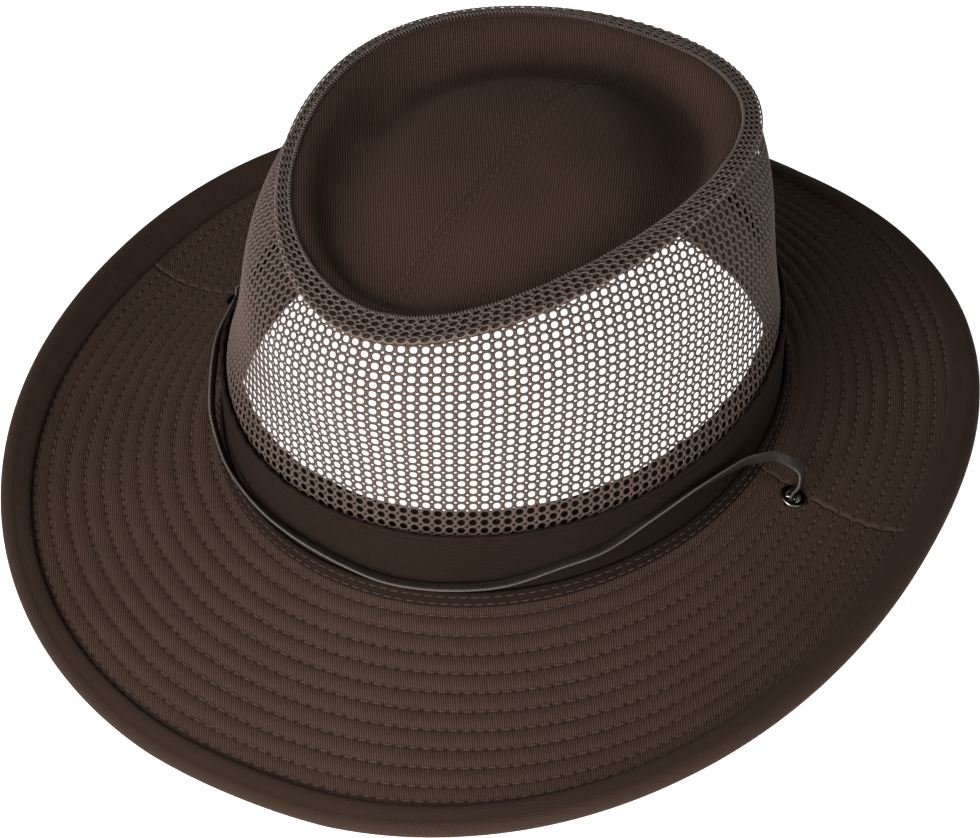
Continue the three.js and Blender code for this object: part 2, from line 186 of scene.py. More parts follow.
# %% [markdown]
# ## Material helpers
#
# Every material starts from the same Principled shader. Colours are mixed by a factor that comes
# from waves and noise, never by one flat colour. Cloth, leather and thread read a UV map called
# "cloth" that holds real millimetres, so that a rib of the twill has the same width on each piece.

# %% Start a material, mix colours and read maps
def start_material(name, roughness, sheen=0.0, metallic=0.0, specular=0.5):
    material = bpy.data.materials.new(name)
    material.use_nodes = True
    shader = material.node_tree.nodes["Principled BSDF"]
    shader.inputs["Roughness"].default_value = roughness
    shader.inputs["Metallic"].default_value = metallic
    shader.inputs["Specular IOR Level"].default_value = specular
    shader.inputs["Sheen Weight"].default_value = sheen
    shader.inputs["Sheen Roughness"].default_value = 0.5
    shader.inputs["Sheen Tint"].default_value = (0.78, 0.52, 0.4, 1)
    return material, material.node_tree, shader


def mix_colours(tree, factor, first, second):
    """First colour at factor 0, second at factor 1. Plain colours are three linear numbers."""
    def full(colour):
        return colour if isinstance(colour, Wire) else (*colour, 1)
    settings = {"data_type": "RGBA", "clamp_factor": True}
    inputs = {0: factor, 6: full(first), 7: full(second)}
    return add_node(tree, "ShaderNodeMix", settings, inputs, output=2)


def place_noise(tree, size, detail=2.0):
    """Noise over the object's own place in space, with lumps of about the given size in metres."""
    place = add_node(tree, "ShaderNodeTexCoord", output="Object")
    return add_node(tree, "ShaderNodeTexNoise", {}, {"Vector": place, "Scale": 1 / size, "Detail": detail})


def cloth_map(tree):
    """The cloth's own millimetres: along a rib, and across the ribs."""
    return add_node(tree, "ShaderNodeUVMap", {"uv_map": "cloth"}).axes()[:2]


def finish_material(tree, shader, colour, height=None, depth=0.0001):
    tree.links.new(colour.socket, shader.inputs["Base Color"])
    if height is not None:
        bump = add_node(tree, "ShaderNodeBump", {}, {"Distance": depth, "Height": height})
        tree.links.new(bump.socket, shader.inputs["Normal"])


# %% [markdown]
# ## Cotton twill
#
# Twill is woven so that the yarns show as raised, slanted ribs. Here the ribs are 0.78 mm apart. A
# wave across the ribs gives light crests and dark valleys, and a finer wave along each rib gives
# the single yarns. Stretched noise makes some yarns thicker, as spinning does. The same height goes
# to the colour and to the bump, so that they agree.
#
# On the brim the needle's holes are painted as dark spots of shade between the stitches, and a band
# of shade is painted along each row's groove. A second UV map called "stitches" counts the stitches
# along each row and holds the distance to the row.

# %% Make the twill
def make_twill(name, crest, valley, rib=0.78, depth=0.00016, sheen=0.05, stitched=False):
    material, tree, shader = start_material(name, roughness=0.9, sheen=sheen, specular=0.07)
    along, across = cloth_map(tree)
    waver = place_noise(tree, 0.004)
    across = across + (waver - 0.5) * 0.16
    ribs = cosine_wave(across, rib)
    yarns = cosine_wave(along + across * 0.6, 0.62)
    fibre = place_noise(tree, 0.0006, detail=1.0)
    slub_place = add_node(tree, "ShaderNodeCombineXYZ", {}, {0: along * 0.5, 1: across * 1.9})
    slubs = add_node(tree, "ShaderNodeTexNoise", {}, {"Vector": slub_place, "Scale": 1.0, "Detail": 2.0})
    height = ribs * (0.62 + 0.38 * yarns) * (0.55 + 0.9 * slubs)
    wear = place_noise(tree, 0.035, detail=4.0)
    factor = height * (0.55 + 0.9 * fibre) * (0.75 + 0.5 * wear)
    if stitched:
        holes, groove = stitch_hole_and_groove_shade(tree)
        # Painted shade: the needle holes and the groove along each row are darkened. The holes are dented
        # by the bump as well.
        factor = factor * (1 - 0.7 * holes) * (1 - 0.25 * groove)
        height = height - 1.6 * holes
    colour = mix_colours(tree, factor, valley, crest)
    finish_material(tree, shader, colour, height + 0.25 * fibre, depth)
    return material


def stitch_hole_and_groove_shade(tree):
    """Masks for painted shade from the map "stitches": the needle holes, and the groove along a row."""
    phase, distance = add_node(tree, "ShaderNodeUVMap", {"uv_map": "stitches"}).axes()[:2]
    at_end = (1 - cosine_wave(phase, 1.0)) ** 5
    near = (distance * distance * -3.2).math("EXPONENT")
    return at_end * near, near

# %% [markdown]
# The lining is a plain weave. Thread is twisted from strands, which show as bands along a stitch.

# %% Make the lining and the thread
def make_plain_cloth(name, light, dark):
    material, tree, shader = start_material(name, roughness=0.95, sheen=0.08, specular=0.1)
    along, across = cloth_map(tree)
    weave = cosine_wave(along, 0.5) * cosine_wave(across, 0.5)
    grain = place_noise(tree, 0.002)
    colour = mix_colours(tree, 0.5 * weave + 0.5 * grain, dark, light)
    finish_material(tree, shader, colour, weave, 0.00006)
    return material


def make_thread(name, light, dark):
    """Thread: each stitch shows its ply along the middle, and its ends, where it dives into its hole, are
    painted dark as shade.
    """
    material, tree, shader = start_material(name, roughness=0.75, sheen=0.2, specular=0.3)
    along, _ = cloth_map(tree)
    ends = ((along - 0.5) * 2).math("ABSOLUTE")
    # Painted shade at both ends of a stitch, where it dives into the cloth.
    dive_shade = ends.math("SMOOTH_MIN", 1.0, 0.1) ** 6
    ply = cosine_wave(along, 0.18)
    middle = mix_colours(tree, ply, tuple(0.7 * part for part in light), light)
    colour = mix_colours(tree, dive_shade, middle, dark)
    finish_material(tree, shader, colour, ply, 0.00004)
    return material


CREST, VALLEY = (0.116, 0.0715, 0.0515), (0.026, 0.0142, 0.0099)
twill = make_twill("Cotton twill", CREST, VALLEY)
brim_twill = make_twill("Quilted twill", CREST, VALLEY, stitched=True)
# The band and the foot strip are the hat's own twill, painted much darker as shade on their upright faces
# below the crown's wall.
band_twill_painted_dark = make_twill("Band twill, painted dark", crest=(0.034, 0.020, 0.0142), valley=(0.009, 0.0047, 0.0033),
                        rib=0.55, depth=0.0001, sheen=0.0)
hem_twill = make_twill("Hem twill", crest=(0.072, 0.044, 0.0315), valley=(0.022, 0.0125, 0.009), rib=0.55,
                       depth=0.0001)
lining = make_plain_cloth("Dark lining", light=(0.020, 0.013, 0.010), dark=(0.008, 0.005, 0.004))
thread = make_thread("Sewing thread", light=(0.105, 0.067, 0.050), dark=(0.006, 0.0035, 0.0025))
print("Cloth materials:", twill.name, lining.name, thread.name)

# %% [markdown]
# ## Net yarn, leather and metal
#
# The net is knitted from smooth grey-brown yarn, so it is lighter than the cotton and has more
# sheen. The trim's yarn is painted lighter still, as light on top of the rim. The leather is dark,
# with a fine grain, and both its thin edges are painted lighter as a highlight. The eyelets are
# darkened brass. Their outer rolled edge is painted bright as a highlight, and the tube inside is
# painted dark as shade.

# %% Make the net yarn, the leather and the metal
def make_net_yarn(name, dark, light):
    material, tree, shader = start_material(name, roughness=0.65, sheen=0.06, specular=0.3)
    strands = place_noise(tree, 0.00035, detail=2.0)
    patches = place_noise(tree, 0.02)
    factor = strands * 0.8 + patches * 0.3
    colour = mix_colours(tree, factor, dark, light)
    finish_material(tree, shader, colour, strands, 0.00012)
    return material


def make_leather():
    """Dark leather. The map's second number runs around the strip: 0 and 0.5 are its thin edges."""
    material, tree, shader = start_material("Lace leather", roughness=0.5, specular=0.25)
    _, around = cloth_map(tree)
    edge = cosine_wave(around, 0.5) ** 12
    grain = place_noise(tree, 0.0007, detail=4.0)
    blotches = place_noise(tree, 0.005, detail=3.0)
    marks = grain * 0.8 + blotches * 0.6 - 0.3
    worn = mix_colours(tree, marks, (0.011, 0.0072, 0.0056), (0.058, 0.041, 0.033))
    # Painted highlight: both thin edges of the strip are made much lighter.
    colour = mix_colours(tree, edge * (0.3 + 0.7 * grain), worn, (0.19, 0.155, 0.135))
    finish_material(tree, shader, colour, grain, 0.00022)
    return material


def make_metal():
    material, tree, shader = start_material("Eyelet metal", roughness=0.3, metallic=1.0)
    tarnish = place_noise(tree, 0.0012, detail=4.0)
    _, around = cloth_map(tree)
    # Painted highlight and shade: the outer rolled edge is light, and the tube inside the hole is dark.
    roll_highlight_and_tube_shade = mix_colours(tree, around ** 3, (0.022, 0.016, 0.013), (0.42, 0.37, 0.33))
    colour = mix_colours(tree, tarnish * 0.5, roll_highlight_and_tube_shade, (0.02, 0.015, 0.012))
    finish_material(tree, shader, colour, tarnish, 0.00008)
    return material


net_yarn = make_net_yarn("Net yarn", (0.026, 0.0165, 0.012), (0.142, 0.095, 0.074))
# The trim's yarn is the net's own yarn, painted lighter as the light that falls on top of the rim.
trim_yarn_painted_lighter = make_net_yarn("Trim yarn, painted lighter", (0.055, 0.040, 0.033), (0.235, 0.178, 0.152))
leather = make_leather()
metal = make_metal()
print("Other materials:", net_yarn.name, trim_yarn_painted_lighter.name, leather.name, metal.name)

# %% [markdown]
# ## Floor and studio light
#
# Pictures for a shop are taken on a white floor that is lit until it shows no grey. The floor here
# glows a little of its own, so that it is white around the hat and through the net as well. The
# lamps stand low around the front, so that faces which look up stay darker than the front ones.

# %% Lay the floor and hang the lamps
LAMP_DISTANCE, LAMP_SIZE = 1.8, 0.9
LAMP_AIM = Vector((0, 0, 0.06))


def make_floor(size=12.0):
    mesh = bpy.data.meshes.new("Floor")
    corners = [(-size, -size, 0), (size, -size, 0), (size, size, 0), (-size, size, 0)]
    mesh.from_pydata(corners, [], [(0, 1, 2, 3)])
    floor = add_object("Floor", mesh)
    material, tree, shader = start_material("White floor", roughness=0.9, specular=0.1)
    paper = place_noise(tree, 0.3)
    colour = mix_colours(tree, paper, (0.78, 0.78, 0.78), (0.80, 0.80, 0.80))
    finish_material(tree, shader, colour)
    shader.inputs["Emission Color"].default_value = (1, 1, 1, 1)
    shader.inputs["Emission Strength"].default_value = 1.05
    mesh.materials.append(material)


def add_lamp(name, azimuth, elevation, power):
    """A square lamp that looks at the hat."""
    light = bpy.data.lights.new(name, "AREA")
    light.energy = power
    light.size = LAMP_SIZE
    away = direction(math.radians(azimuth), math.radians(elevation))
    lamp = add_object(name, light)
    lamp.location = LAMP_AIM + LAMP_DISTANCE * away
    lamp.rotation_euler = away.to_track_quat("Z", "Y").to_euler()


make_floor()
add_lamp("Front", azimuth=2, elevation=32, power=26)
add_lamp("Low front", azimuth=12, elevation=9, power=17)
add_lamp("Left", azimuth=-65, elevation=28, power=5)
add_lamp("Right", azimuth=80, elevation=30, power=5)
world = bpy.data.worlds.new("Studio")
world.use_nodes = True
world.node_tree.nodes["Background"].inputs["Color"].default_value = (1, 1, 1, 1)
world.node_tree.nodes["Background"].inputs["Strength"].default_value = 0.04
scene.world = world

# %% [markdown]
# ## The hat's surfaces as formulas
#
# Each piece lies on a smooth surface that a short formula gives. It is the CAD model's own, apart
# from the tip's broader shoulder. An angle says where around the head a point is: the front is at
# minus 90 degrees and the hat's left side at 0. All lengths here are millimetres. They turn into
# metres when a mesh is made.

# %% Foot oval and brim surface
HEAD_WIDTH, HEAD_LENGTH, FOOT_HEIGHT = 88.0, 102.5, 25.7
BRIM_WIDTH, OUTLINE_WIDTH, OUTLINE_LENGTH = 63.5, 151.5, 176.4
SIDE_CURL, BRIM_FALL = 24.5, 24.4
SQUARENESS = 2.15
SEAM = math.radians(2)
FRONT = -math.pi / 2


def unit(vectors):
    return vectors / np.linalg.norm(vectors, axis=-1, keepdims=True)


def spread(*values):
    """Arrays of one shape, from numbers and arrays."""
    return [np.array(value, float) for value in np.broadcast_arrays(*values)]


def turned(x, y, angle):
    """Plane coordinates, turned anticlockwise by an angle."""
    return np.stack([x * np.cos(angle) - y * np.sin(angle), x * np.sin(angle) + y * np.cos(angle)], -1)


def foot_point(angle, outward, height):
    """Beside the head oval, at a distance outward from the band's outside."""
    angle, outward, height = spread(angle, outward, height)
    flat = 0 * angle
    normal = unit(np.stack([np.cos(angle) / HEAD_WIDTH, np.sin(angle) / HEAD_LENGTH, flat], -1))
    oval = np.stack([HEAD_WIDTH * np.cos(angle), HEAD_LENGTH * np.sin(angle), FOOT_HEIGHT + height], -1)
    return oval + normal * outward[..., None]


def brim_middle(angle, reach):
    """The brim's middle surface: reach 0 is at the crown's foot, reach 1 at the outer edge."""
    angle, reach = spread(angle, reach)
    c, s = np.cos(angle), np.sin(angle)
    flat = 0 * angle
    rounding = (abs(c) ** SQUARENESS + abs(s) ** SQUARENESS) ** (-1 / SQUARENESS)
    inner = np.stack([(HEAD_WIDTH + 1) * c, (HEAD_LENGTH + 1) * s, flat], -1)
    outer = np.stack([OUTLINE_WIDTH * c * (1 - 0.05 * s), OUTLINE_LENGTH * s, flat], -1)
    outer *= rounding[..., None]
    side = np.maximum(c * c - 0.04, 0) / 0.96
    lift = np.where(reach > 0, SIDE_CURL * side * np.maximum(reach, 0) ** 3.76 - BRIM_FALL * reach, 0)
    point = inner + (outer - inner) * reach[..., None]
    point[..., 2] = FOOT_HEIGHT + lift
    return point


def brim_directions(angle, reach):
    """Out along the brim, and square up from it."""
    step = 0.01
    outward = unit(brim_middle(angle, reach + step) - brim_middle(angle, reach))
    along = unit(brim_middle(angle + step, reach) - brim_middle(angle - step, reach))
    return outward, unit(np.cross(outward, along))


def brim_point(angle, reach, lift):
    angle, reach, lift = spread(angle, reach, lift)
    return brim_middle(angle, reach) + brim_directions(angle, reach)[1] * lift[..., None]


# %% [markdown]
# The crown changes steadily from front to back, so its measures are written as a value at the
# side, a slope and a bend. The tip's groove is the one free curve. It is read from a short table
# of depths.

# %% Rim, wall and tip surfaces
CROWN_MIDDLE = 5.6
BAND_TOP = 28.3


def front_to_back(side, slope, bend, angle):
    sine = np.sin(angle)
    return side + slope * sine + bend * sine * sine


def rim_half_width(angle):
    return front_to_back(69.5, 8.1, -2.4, angle)


def rim_point(angle, inset, height):
    """The crown's rim, and points set in from it towards the crown's centre."""
    angle, inset, height = spread(angle, inset, height)
    rim = np.stack([rim_half_width(angle) * np.cos(angle),
                    CROWN_MIDDLE + 99.1 * np.sin(angle),
                    FOOT_HEIGHT + front_to_back(99, -8, -11.3, angle) + height], -1)
    inward = unit(np.stack([-rim[..., 0], CROWN_MIDDLE - rim[..., 1], 0 * angle], -1))
    return rim + inward * inset[..., None]


def wall_top(angle):
    return rim_point(angle, 0, -3.0)[..., 2] - FOOT_HEIGHT


def wall_point(angle, height, outward):
    """The wall stands straight behind the band, bulges above it and leans in to the rim."""
    angle, height, outward = spread(angle, height, outward)
    top = rim_point(angle, 1.5 - outward, -3.0)
    foot = foot_point(angle, outward - 1.5, 0)
    above = np.maximum(height - BAND_TOP, 0) / (top[..., 2] - FOOT_HEIGHT - BAND_TOP)
    bulge = front_to_back(3.8, -2.3, -0.6, angle) * np.sin(np.pi * np.clip(above, 0, 1) ** 2)
    point = foot_point(angle, outward - 1.5 + bulge, 0) + (top - foot) * above[..., None]
    point[..., 2] = FOOT_HEIGHT + height
    return point


GROOVE_REACHES = np.array([0, 0.3, 0.45, 0.58, 0.68, 0.77, 0.84, 0.9, 0.95, 1])
GROOVE_DEPTHS = np.array([0, 0.01, 0.18, 0.6, 0.92, 1, 0.8, 0.27, 0.05, 0])


def groove_depth(reach):
    """A smooth curve through the rows above, with its own slope at each row."""
    slopes = np.gradient(GROOVE_DEPTHS, GROOVE_REACHES)
    slopes[[0, 5, -1]] = 0
    reach = np.clip(reach, 0, 1)
    low_row = np.clip(np.searchsorted(GROOVE_REACHES, reach) - 1, 0, len(GROOVE_REACHES) - 2)
    width = np.diff(GROOVE_REACHES)[low_row]
    t = (reach - GROOVE_REACHES[low_row]) / width
    start, end = GROOVE_DEPTHS[low_row], GROOVE_DEPTHS[low_row + 1]
    lean, lean_end = slopes[low_row] * width, slopes[low_row + 1] * width
    blend = t * t * (3 - 2 * t)
    return start + (end - start) * blend + lean * t * (1 - t) ** 2 - lean_end * t * t * (1 - t)


def shoulder(angle, reach):
    """The reach to read the groove's depth at. The rim's shoulder is broad at the front left."""
    outside = np.clip((reach - 0.77) / 0.23, 0, 1)
    breadth = 0.5 + 0.5 * np.cos(angle + math.radians(60))
    return np.where(reach > 0.77, 0.77 + 0.23 * (1 - (1 - outside) ** (1 + 1.2 * breadth)), reach)


def tip_point(angle, reach, lift):
    """The tip's upper surface: reach 0 is the crown's centre, reach 1 its edge under the trim."""
    angle, reach, lift = spread(angle, reach, lift)
    edge = rim_point(angle, 1.5, -1.5)
    centre = np.array([0, CROWN_MIDDLE, FOOT_HEIGHT + 97.3])
    point = centre + (edge - centre) * reach[..., None]
    rise = centre[2] + (edge[..., 2] - centre[2]) * reach ** 2
    depth = groove_depth(shoulder(angle, reach))
    point[..., 2] = rise - front_to_back(13, 4.35, -3.85, angle) * depth + lift
    return point


print("Brim from", brim_middle(0, 0).round(1), "to", brim_middle(0, 1).round(1))
print("Rim at the front", rim_point(FRONT, 0, 0).round(1))
print("The tip's centre", tip_point(0, 0, 0).round(1))

# %% [markdown]
# ## From rows of points to a closed shell
#
# Cloth is thin but it has two faces. Nearly every piece is a strip with an upper and a lower row of
# points that is swept around the hat. The function below joins the rows to a closed shell, closes
# the ends, turns the faces outwards and stores the cloth's millimetres in the UV map.

# %% Build meshes and sweep shells
def make_object(name, points, faces, corner_uv, material=None):
    """A smooth mesh object from points in millimetres. The first two columns of corner_uv are the
    map "cloth", and the next two, if any, are the map "stitches"."""
    points = np.asarray(points, float) * MM
    faces = np.asarray(faces)
    volume = 0
    for k in range(1, faces.shape[1] - 1):
        a, b, c = points[faces[:, 0]], points[faces[:, k]], points[faces[:, k + 1]]
        volume += np.einsum("ij,ij->i", a, np.cross(b, c)).sum()
    if volume < 0:
        faces, corner_uv = faces[:, ::-1], corner_uv[:, ::-1]
    mesh = bpy.data.meshes.new(name)
    mesh.from_pydata(points.tolist(), [], faces.tolist())
    for first, label in zip(range(0, corner_uv.shape[-1], 2), ("cloth", "stitches")):
        values = np.ascontiguousarray(corner_uv[..., first:first + 2], np.float32)
        mesh.uv_layers.new(name=label).data.foreach_set("uv", values.ravel())
    mesh.polygons.foreach_set("use_smooth", [True] * len(mesh.polygons))
    if material is not None:
        mesh.materials.append(material)
    return add_object(name, mesh)


def grid_faces(rows, columns, closed_rows=True, closed_columns=True):
    """Four-cornered faces over a grid of points, and the row and column of each of their corners.

    A closed direction has one more step that leads back to its start, where the corner's number
    runs on, so that a map can run on as well.
    """
    i, j = np.meshgrid(np.arange(rows - (not closed_rows)), np.arange(columns - (not closed_columns)),
                       indexing="ij")
    i, j = i.ravel(), j.ravel()
    corners = [(i, j), (i + 1, j), (i + 1, j + 1), (i, j + 1)]
    return np.stack([(a % rows) * columns + b % columns for a, b in corners], -1), corners


def corner_map(corners, read):
    """A map that holds what read gives for each corner's row and column."""
    return np.stack([np.stack(read(row, column), -1) for row, column in corners], 1)


def swept_shell(name, upper, lower, uv, material, closed=True):
    """Upper and lower are rows of points (stations, points, 3). The uv rows are like the upper one.

    A closed shell has one more station in its uv than in its points, for the way back to the start.
    """
    stations, count = upper.shape[:2]
    around = 2 * count
    ring = np.concatenate([upper, lower[:, ::-1]], axis=1)
    maps = np.concatenate([uv, uv[:, ::-1]], axis=1)
    faces, corners = grid_faces(stations, around, closed_rows=closed)
    corner_uv = np.stack([maps[a, b % around] for a, b in corners], 1)
    if not closed:
        j = np.arange(count - 1)
        mirror = around - 1 - j
        for station, order in ((0, 1), (stations - 1, -1)):
            cap = np.stack([j, j + 1, mirror - 1, mirror], -1)[:, ::order]
            faces = np.concatenate([faces, station * around + cap])
            corner_uv = np.concatenate([corner_uv, maps[station][cap]])
    return make_object(name, ring.reshape(-1, 3), faces, corner_uv, material)

# %% [markdown]
# A few small helpers follow. One hands a finished piece over to the frame. The others give even
# angles and the lengths along lines, store a value for each point, and open a mesh for editing.

# %% Hand over, measure and edit
def hand_over(piece, slot, *nodes):
    """Let a finished piece ride on the hat and stand for its CAD pieces."""
    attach(piece, "root")
    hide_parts(*nodes)
    faces = sum(len(face.vertices) - 2 for face in piece.data.polygons)
    print(piece.name, "has", faces, "triangles")


def circle(steps):
    return np.arange(steps) * 2 * np.pi / steps


def full_turn(steps):
    """Angles around the hat, starting at its right side."""
    return circle(steps) - np.pi


def arc_lengths(points):
    """The distance run along lines of points, starting from 0."""
    steps = np.linalg.norm(np.diff(points, axis=-2), axis=-1)
    return np.concatenate([0 * steps[..., :1], np.cumsum(steps, -1)], -1)


def store(mesh, label, values, kind="FLOAT_VECTOR", field="vector"):
    """Store a vector or a number for each point of a mesh."""
    attribute = mesh.attributes.new(label, kind, "POINT")
    attribute.data.foreach_set(field, np.ascontiguousarray(values, np.float32).ravel())


@contextmanager
def edited(mesh):
    """Lend a mesh out for editing, and store what was made of it."""
    work = bmesh.new()
    work.from_mesh(mesh)
    yield work
    work.to_mesh(mesh)
    work.free()


# %% [markdown]
# ## The chin lace
#
# The lace is one flat strip of leather in a loop. It comes up through the left eyelet, lies along
# the crown's foot over the front and goes down through the right eyelet. The rest is laid below
# the brim, around the back. It is modelled as two stretches that meet in the eyelets.

# %% Place the points of both routes
OVER = np.array([
    (103.3, 0.6, 20.6), (104.2, 0.5, 24.4), (106.2, 0.4, 28.4), (105.4, 1.6, 33), (101.5, 1, 36),
    (97.8, -0.9, 38), (94.5, -6, 40), (92, -10.6, 41.5), (88.9, -20.5, 43.5), (84.6, -35.2, 46),
    (78.2, -51, 45), (69.2, -67, 41), (60.6, -76.7, 39.3), (47.3, -89.2, 36), (35, -96.8, 35.1),
    (22.2, -101.7, 34.6), (11.9, -104, 34.8), (0.1, -104.9, 36.4), (-12.3, -103.9, 37.4),
    (-26.6, -100.3, 37.5), (-36.2, -96.1, 37.1), (-45.2, -90.8, 36.3), (-54.5, -84.3, 36),
    (-63.2, -76.2, 37), (-69.5, -69.5, 40), (-73.9, -62.3, 43), (-78.4, -53.5, 45.5),
    (-82.9, -43.1, 46.5), (-87.8, -26, 45), (-90.3, -17, 43), (-93, -9, 40), (-96, -4.5, 37.5),
    (-99, -2, 34.5), (-101.7, -0.4, 31.5), (-103.3, 0.4, 28), (-103.6, 0.5, 24.4), (-103.3, 0.6, 20.6),
])
UNDER_HALF = [
    (103.2, 0.6, 20), (102.6, 1.6, 15.5), (103.6, 8, 7.5), (108, 20, 2.8), (111.5, 36, 1.5),
    (111.5, 54, 1.4), (107, 74, 1.4), (98, 93, 1.4), (84.5, 110.5, 1.4), (66, 125, 1.4),
    (44.5, 135, 1.4), (22, 140.2, 1.4),
]
UNDER = np.array([*UNDER_HALF, (0, 141.8, 1.4), *[(-x, y, z) for x, y, z in reversed(UNDER_HALF)]])

# %% [markdown]
# A smooth curve goes through the points. A rounded, flat outline is swept along it and twisted a
# little, as a soft strip does on its own. Its ends are filled.

# %% Sweep the lace along the routes
def smooth_path(points, spacing=1.2):
    """A curve through all the points (centripetal Catmull-Rom), cut into even steps."""
    ends = [2 * points[0] - points[1], *points, 2 * points[-1] - points[-2]]
    line = []
    for p0, p1, p2, p3 in zip(ends, ends[1:], ends[2:], ends[3:]):
        t1 = np.linalg.norm(p1 - p0) ** 0.5
        t2 = t1 + np.linalg.norm(p2 - p1) ** 0.5
        t3 = t2 + np.linalg.norm(p3 - p2) ** 0.5
        t = np.linspace(t1, t2, 24, endpoint=False)[:, None]
        a1 = p0 + (p1 - p0) * t / t1
        a2 = p1 + (p2 - p1) * (t - t1) / (t2 - t1)
        a3 = p2 + (p3 - p2) * (t - t2) / (t3 - t2)
        b1 = a1 + (a2 - a1) * t / t2
        b2 = a2 + (a3 - a2) * (t - t1) / (t3 - t1)
        line.append(b1 + (b2 - b1) * (t - t1) / (t2 - t1))
    line = np.concatenate([*line, points[-1:]])
    run = arc_lengths(line)
    even = np.linspace(0, run[-1], int(run[-1] / spacing) + 1)
    return np.stack([np.interp(even, run, line[:, axis]) for axis in range(3)], -1)


def sweep_lace(name, route, twist):
    """A flat strip with rounded edges along a path. Twist is a function of the angle in degrees."""
    path = smooth_path(route)
    run = arc_lengths(path)
    tangent = unit(np.gradient(path, axis=0))
    outward = unit(np.stack([path[:, 0] / HEAD_WIDTH, path[:, 1] / HEAD_LENGTH, 0 * run + 0.02], -1))
    side = unit(outward - tangent * (outward * tangent).sum(-1, keepdims=True))
    above = np.cross(tangent, side)
    above *= np.sign(above[len(above) // 2, 2])
    turn = twist(np.degrees(np.arctan2(path[:, 1], path[:, 0])))[:, None]
    broad = side * np.cos(turn) + above * np.sin(turn)
    narrow = above * np.cos(turn) - side * np.sin(turn)
    c, s = np.cos(circle(LACE_SIDES)), np.sin(circle(LACE_SIDES))
    wide = np.sign(c) * abs(c) ** 0.6 * LACE_WIDTH / 2
    thin = np.sign(s) * abs(s) ** 0.6 * LACE_THICKNESS / 2
    rings = path[:, None] + broad[:, None] * wide[:, None] + narrow[:, None] * thin[:, None]
    faces, corners = grid_faces(LACE_SIDES, len(path), closed_columns=False)
    uv = corner_map(corners, lambda row, column: (run[column], row / LACE_SIDES))
    piece = make_object(name, rings.swapaxes(0, 1).reshape(-1, 3), faces, uv, leather)
    with edited(piece.data) as work:
        bmesh.ops.holes_fill(work, edges=work.edges[:], sides=0)
        bmesh.ops.recalc_face_normals(work, faces=work.faces[:])
    return piece, path, run[-1]


def lace_twist(angle):
    """How far the strip stands up on its edge: it lies flat only at the front."""
    tilt = np.interp(angle, [-175, -150, -120, -100, -80, -60, -40, -25, -12, 0],
                     [75, 68, 50, 24, 6, 2, 10, 40, 72, 88])
    return np.radians(tilt)


LACE_WIDTH, LACE_THICKNESS, LACE_SIDES = 3.5, 1.3, 16
lace_over, over_path, over_length = sweep_lace("lace_over_brim", OVER, twist=lace_twist)
lace_under, under_path, under_length = sweep_lace("lace_under_brim", UNDER, twist=lambda angle: 0 * angle)
hand_over(lace_over, "lace_leather", "chin_cord_over")
hand_over(lace_under, "lace_leather", "chin_cord_under")
for piece, path, length in ((lace_over, over_path, over_length), (lace_under, under_path, under_length)):
    path[0] * MM
    length * MM
    path * MM
    print(piece.name, "is", round(length, 1), "mm long")

# %% [markdown]
# ## The quilted brim
#
# Two layers of twill with a stiffener between them are sewn together by ten rows of stitches, with
# two closer rows beside the hem. Each row pulls the cloth down into a fine groove, and the cloth
# swells a little between two rows. The halves meet at the side seams, where their edges round off.

# %% Shape the quilting
ROW_STEP = 0.0815
FIRST_ROW = 0.055
STITCH_ROWS = np.concatenate([FIRST_ROW + ROW_STEP * np.arange(10), [0.854, 0.877]])
STITCH_PITCH = 4.0
HALF_THICKNESS = 1.2
MEAN_RADIUS = 125
SEAM_GAP = 0.01


def quilting(angle, reach):
    """How far the cloth swells out from the brim's flat face, in millimetres."""
    distance = (reach[..., None] - STITCH_ROWS) * BRIM_WIDTH
    groove = 0.42 * np.exp(-(distance / 0.6) ** 2).sum(-1)
    inside = (reach > FIRST_ROW) & (reach < 0.79)
    between = np.sin(np.pi * (reach - FIRST_ROW) / ROW_STEP) ** 2 * inside
    swell = 0.22 + 0.25 * np.cos(angle) ** 2
    ripple = 0.10 * np.sin(47 * angle + 31 * reach) + 0.07 * np.sin(83 * angle - 57 * reach + 1.3)
    return (swell + ripple) * between - groove


def undulation(angle, reach):
    """Slow waves of the whole brim, strongest near its edge."""
    wave = 0.35 * np.sin(3.1 * angle + 0.4) + 0.3 * np.sin(7.3 * angle + 2.1) + 0.16 * np.sin(13.7 * angle)
    return wave * np.clip(reach, 0, 1) * np.clip((0.93 - reach) / 0.2, 0, 1)

# %% [markdown]
# The brim's cloth has two maps. One holds the millimetres of the flat cloth, so that the ribs run
# as they do on a cut piece. The other counts the stitches and measures the distance to their row.

# %% Map the cloth and the stitches
FAN = 0.886


def brim_cloth(angle, reach, back_half):
    """The flat cloth's millimetres. Its ribs fan out slowly on the way around the brim."""
    point = brim_middle(angle, reach)
    middle = math.pi / 2 if back_half else FRONT
    turn = (angle - middle + np.pi) % (2 * np.pi) - np.pi
    radius = np.hypot(point[..., 0], point[..., 1]) / FAN
    polar = middle + turn * FAN
    slant = math.radians(26.3 if back_half else 30.2) - math.pi / 2
    return turned(radius * np.cos(polar), radius * np.sin(polar), -slant)


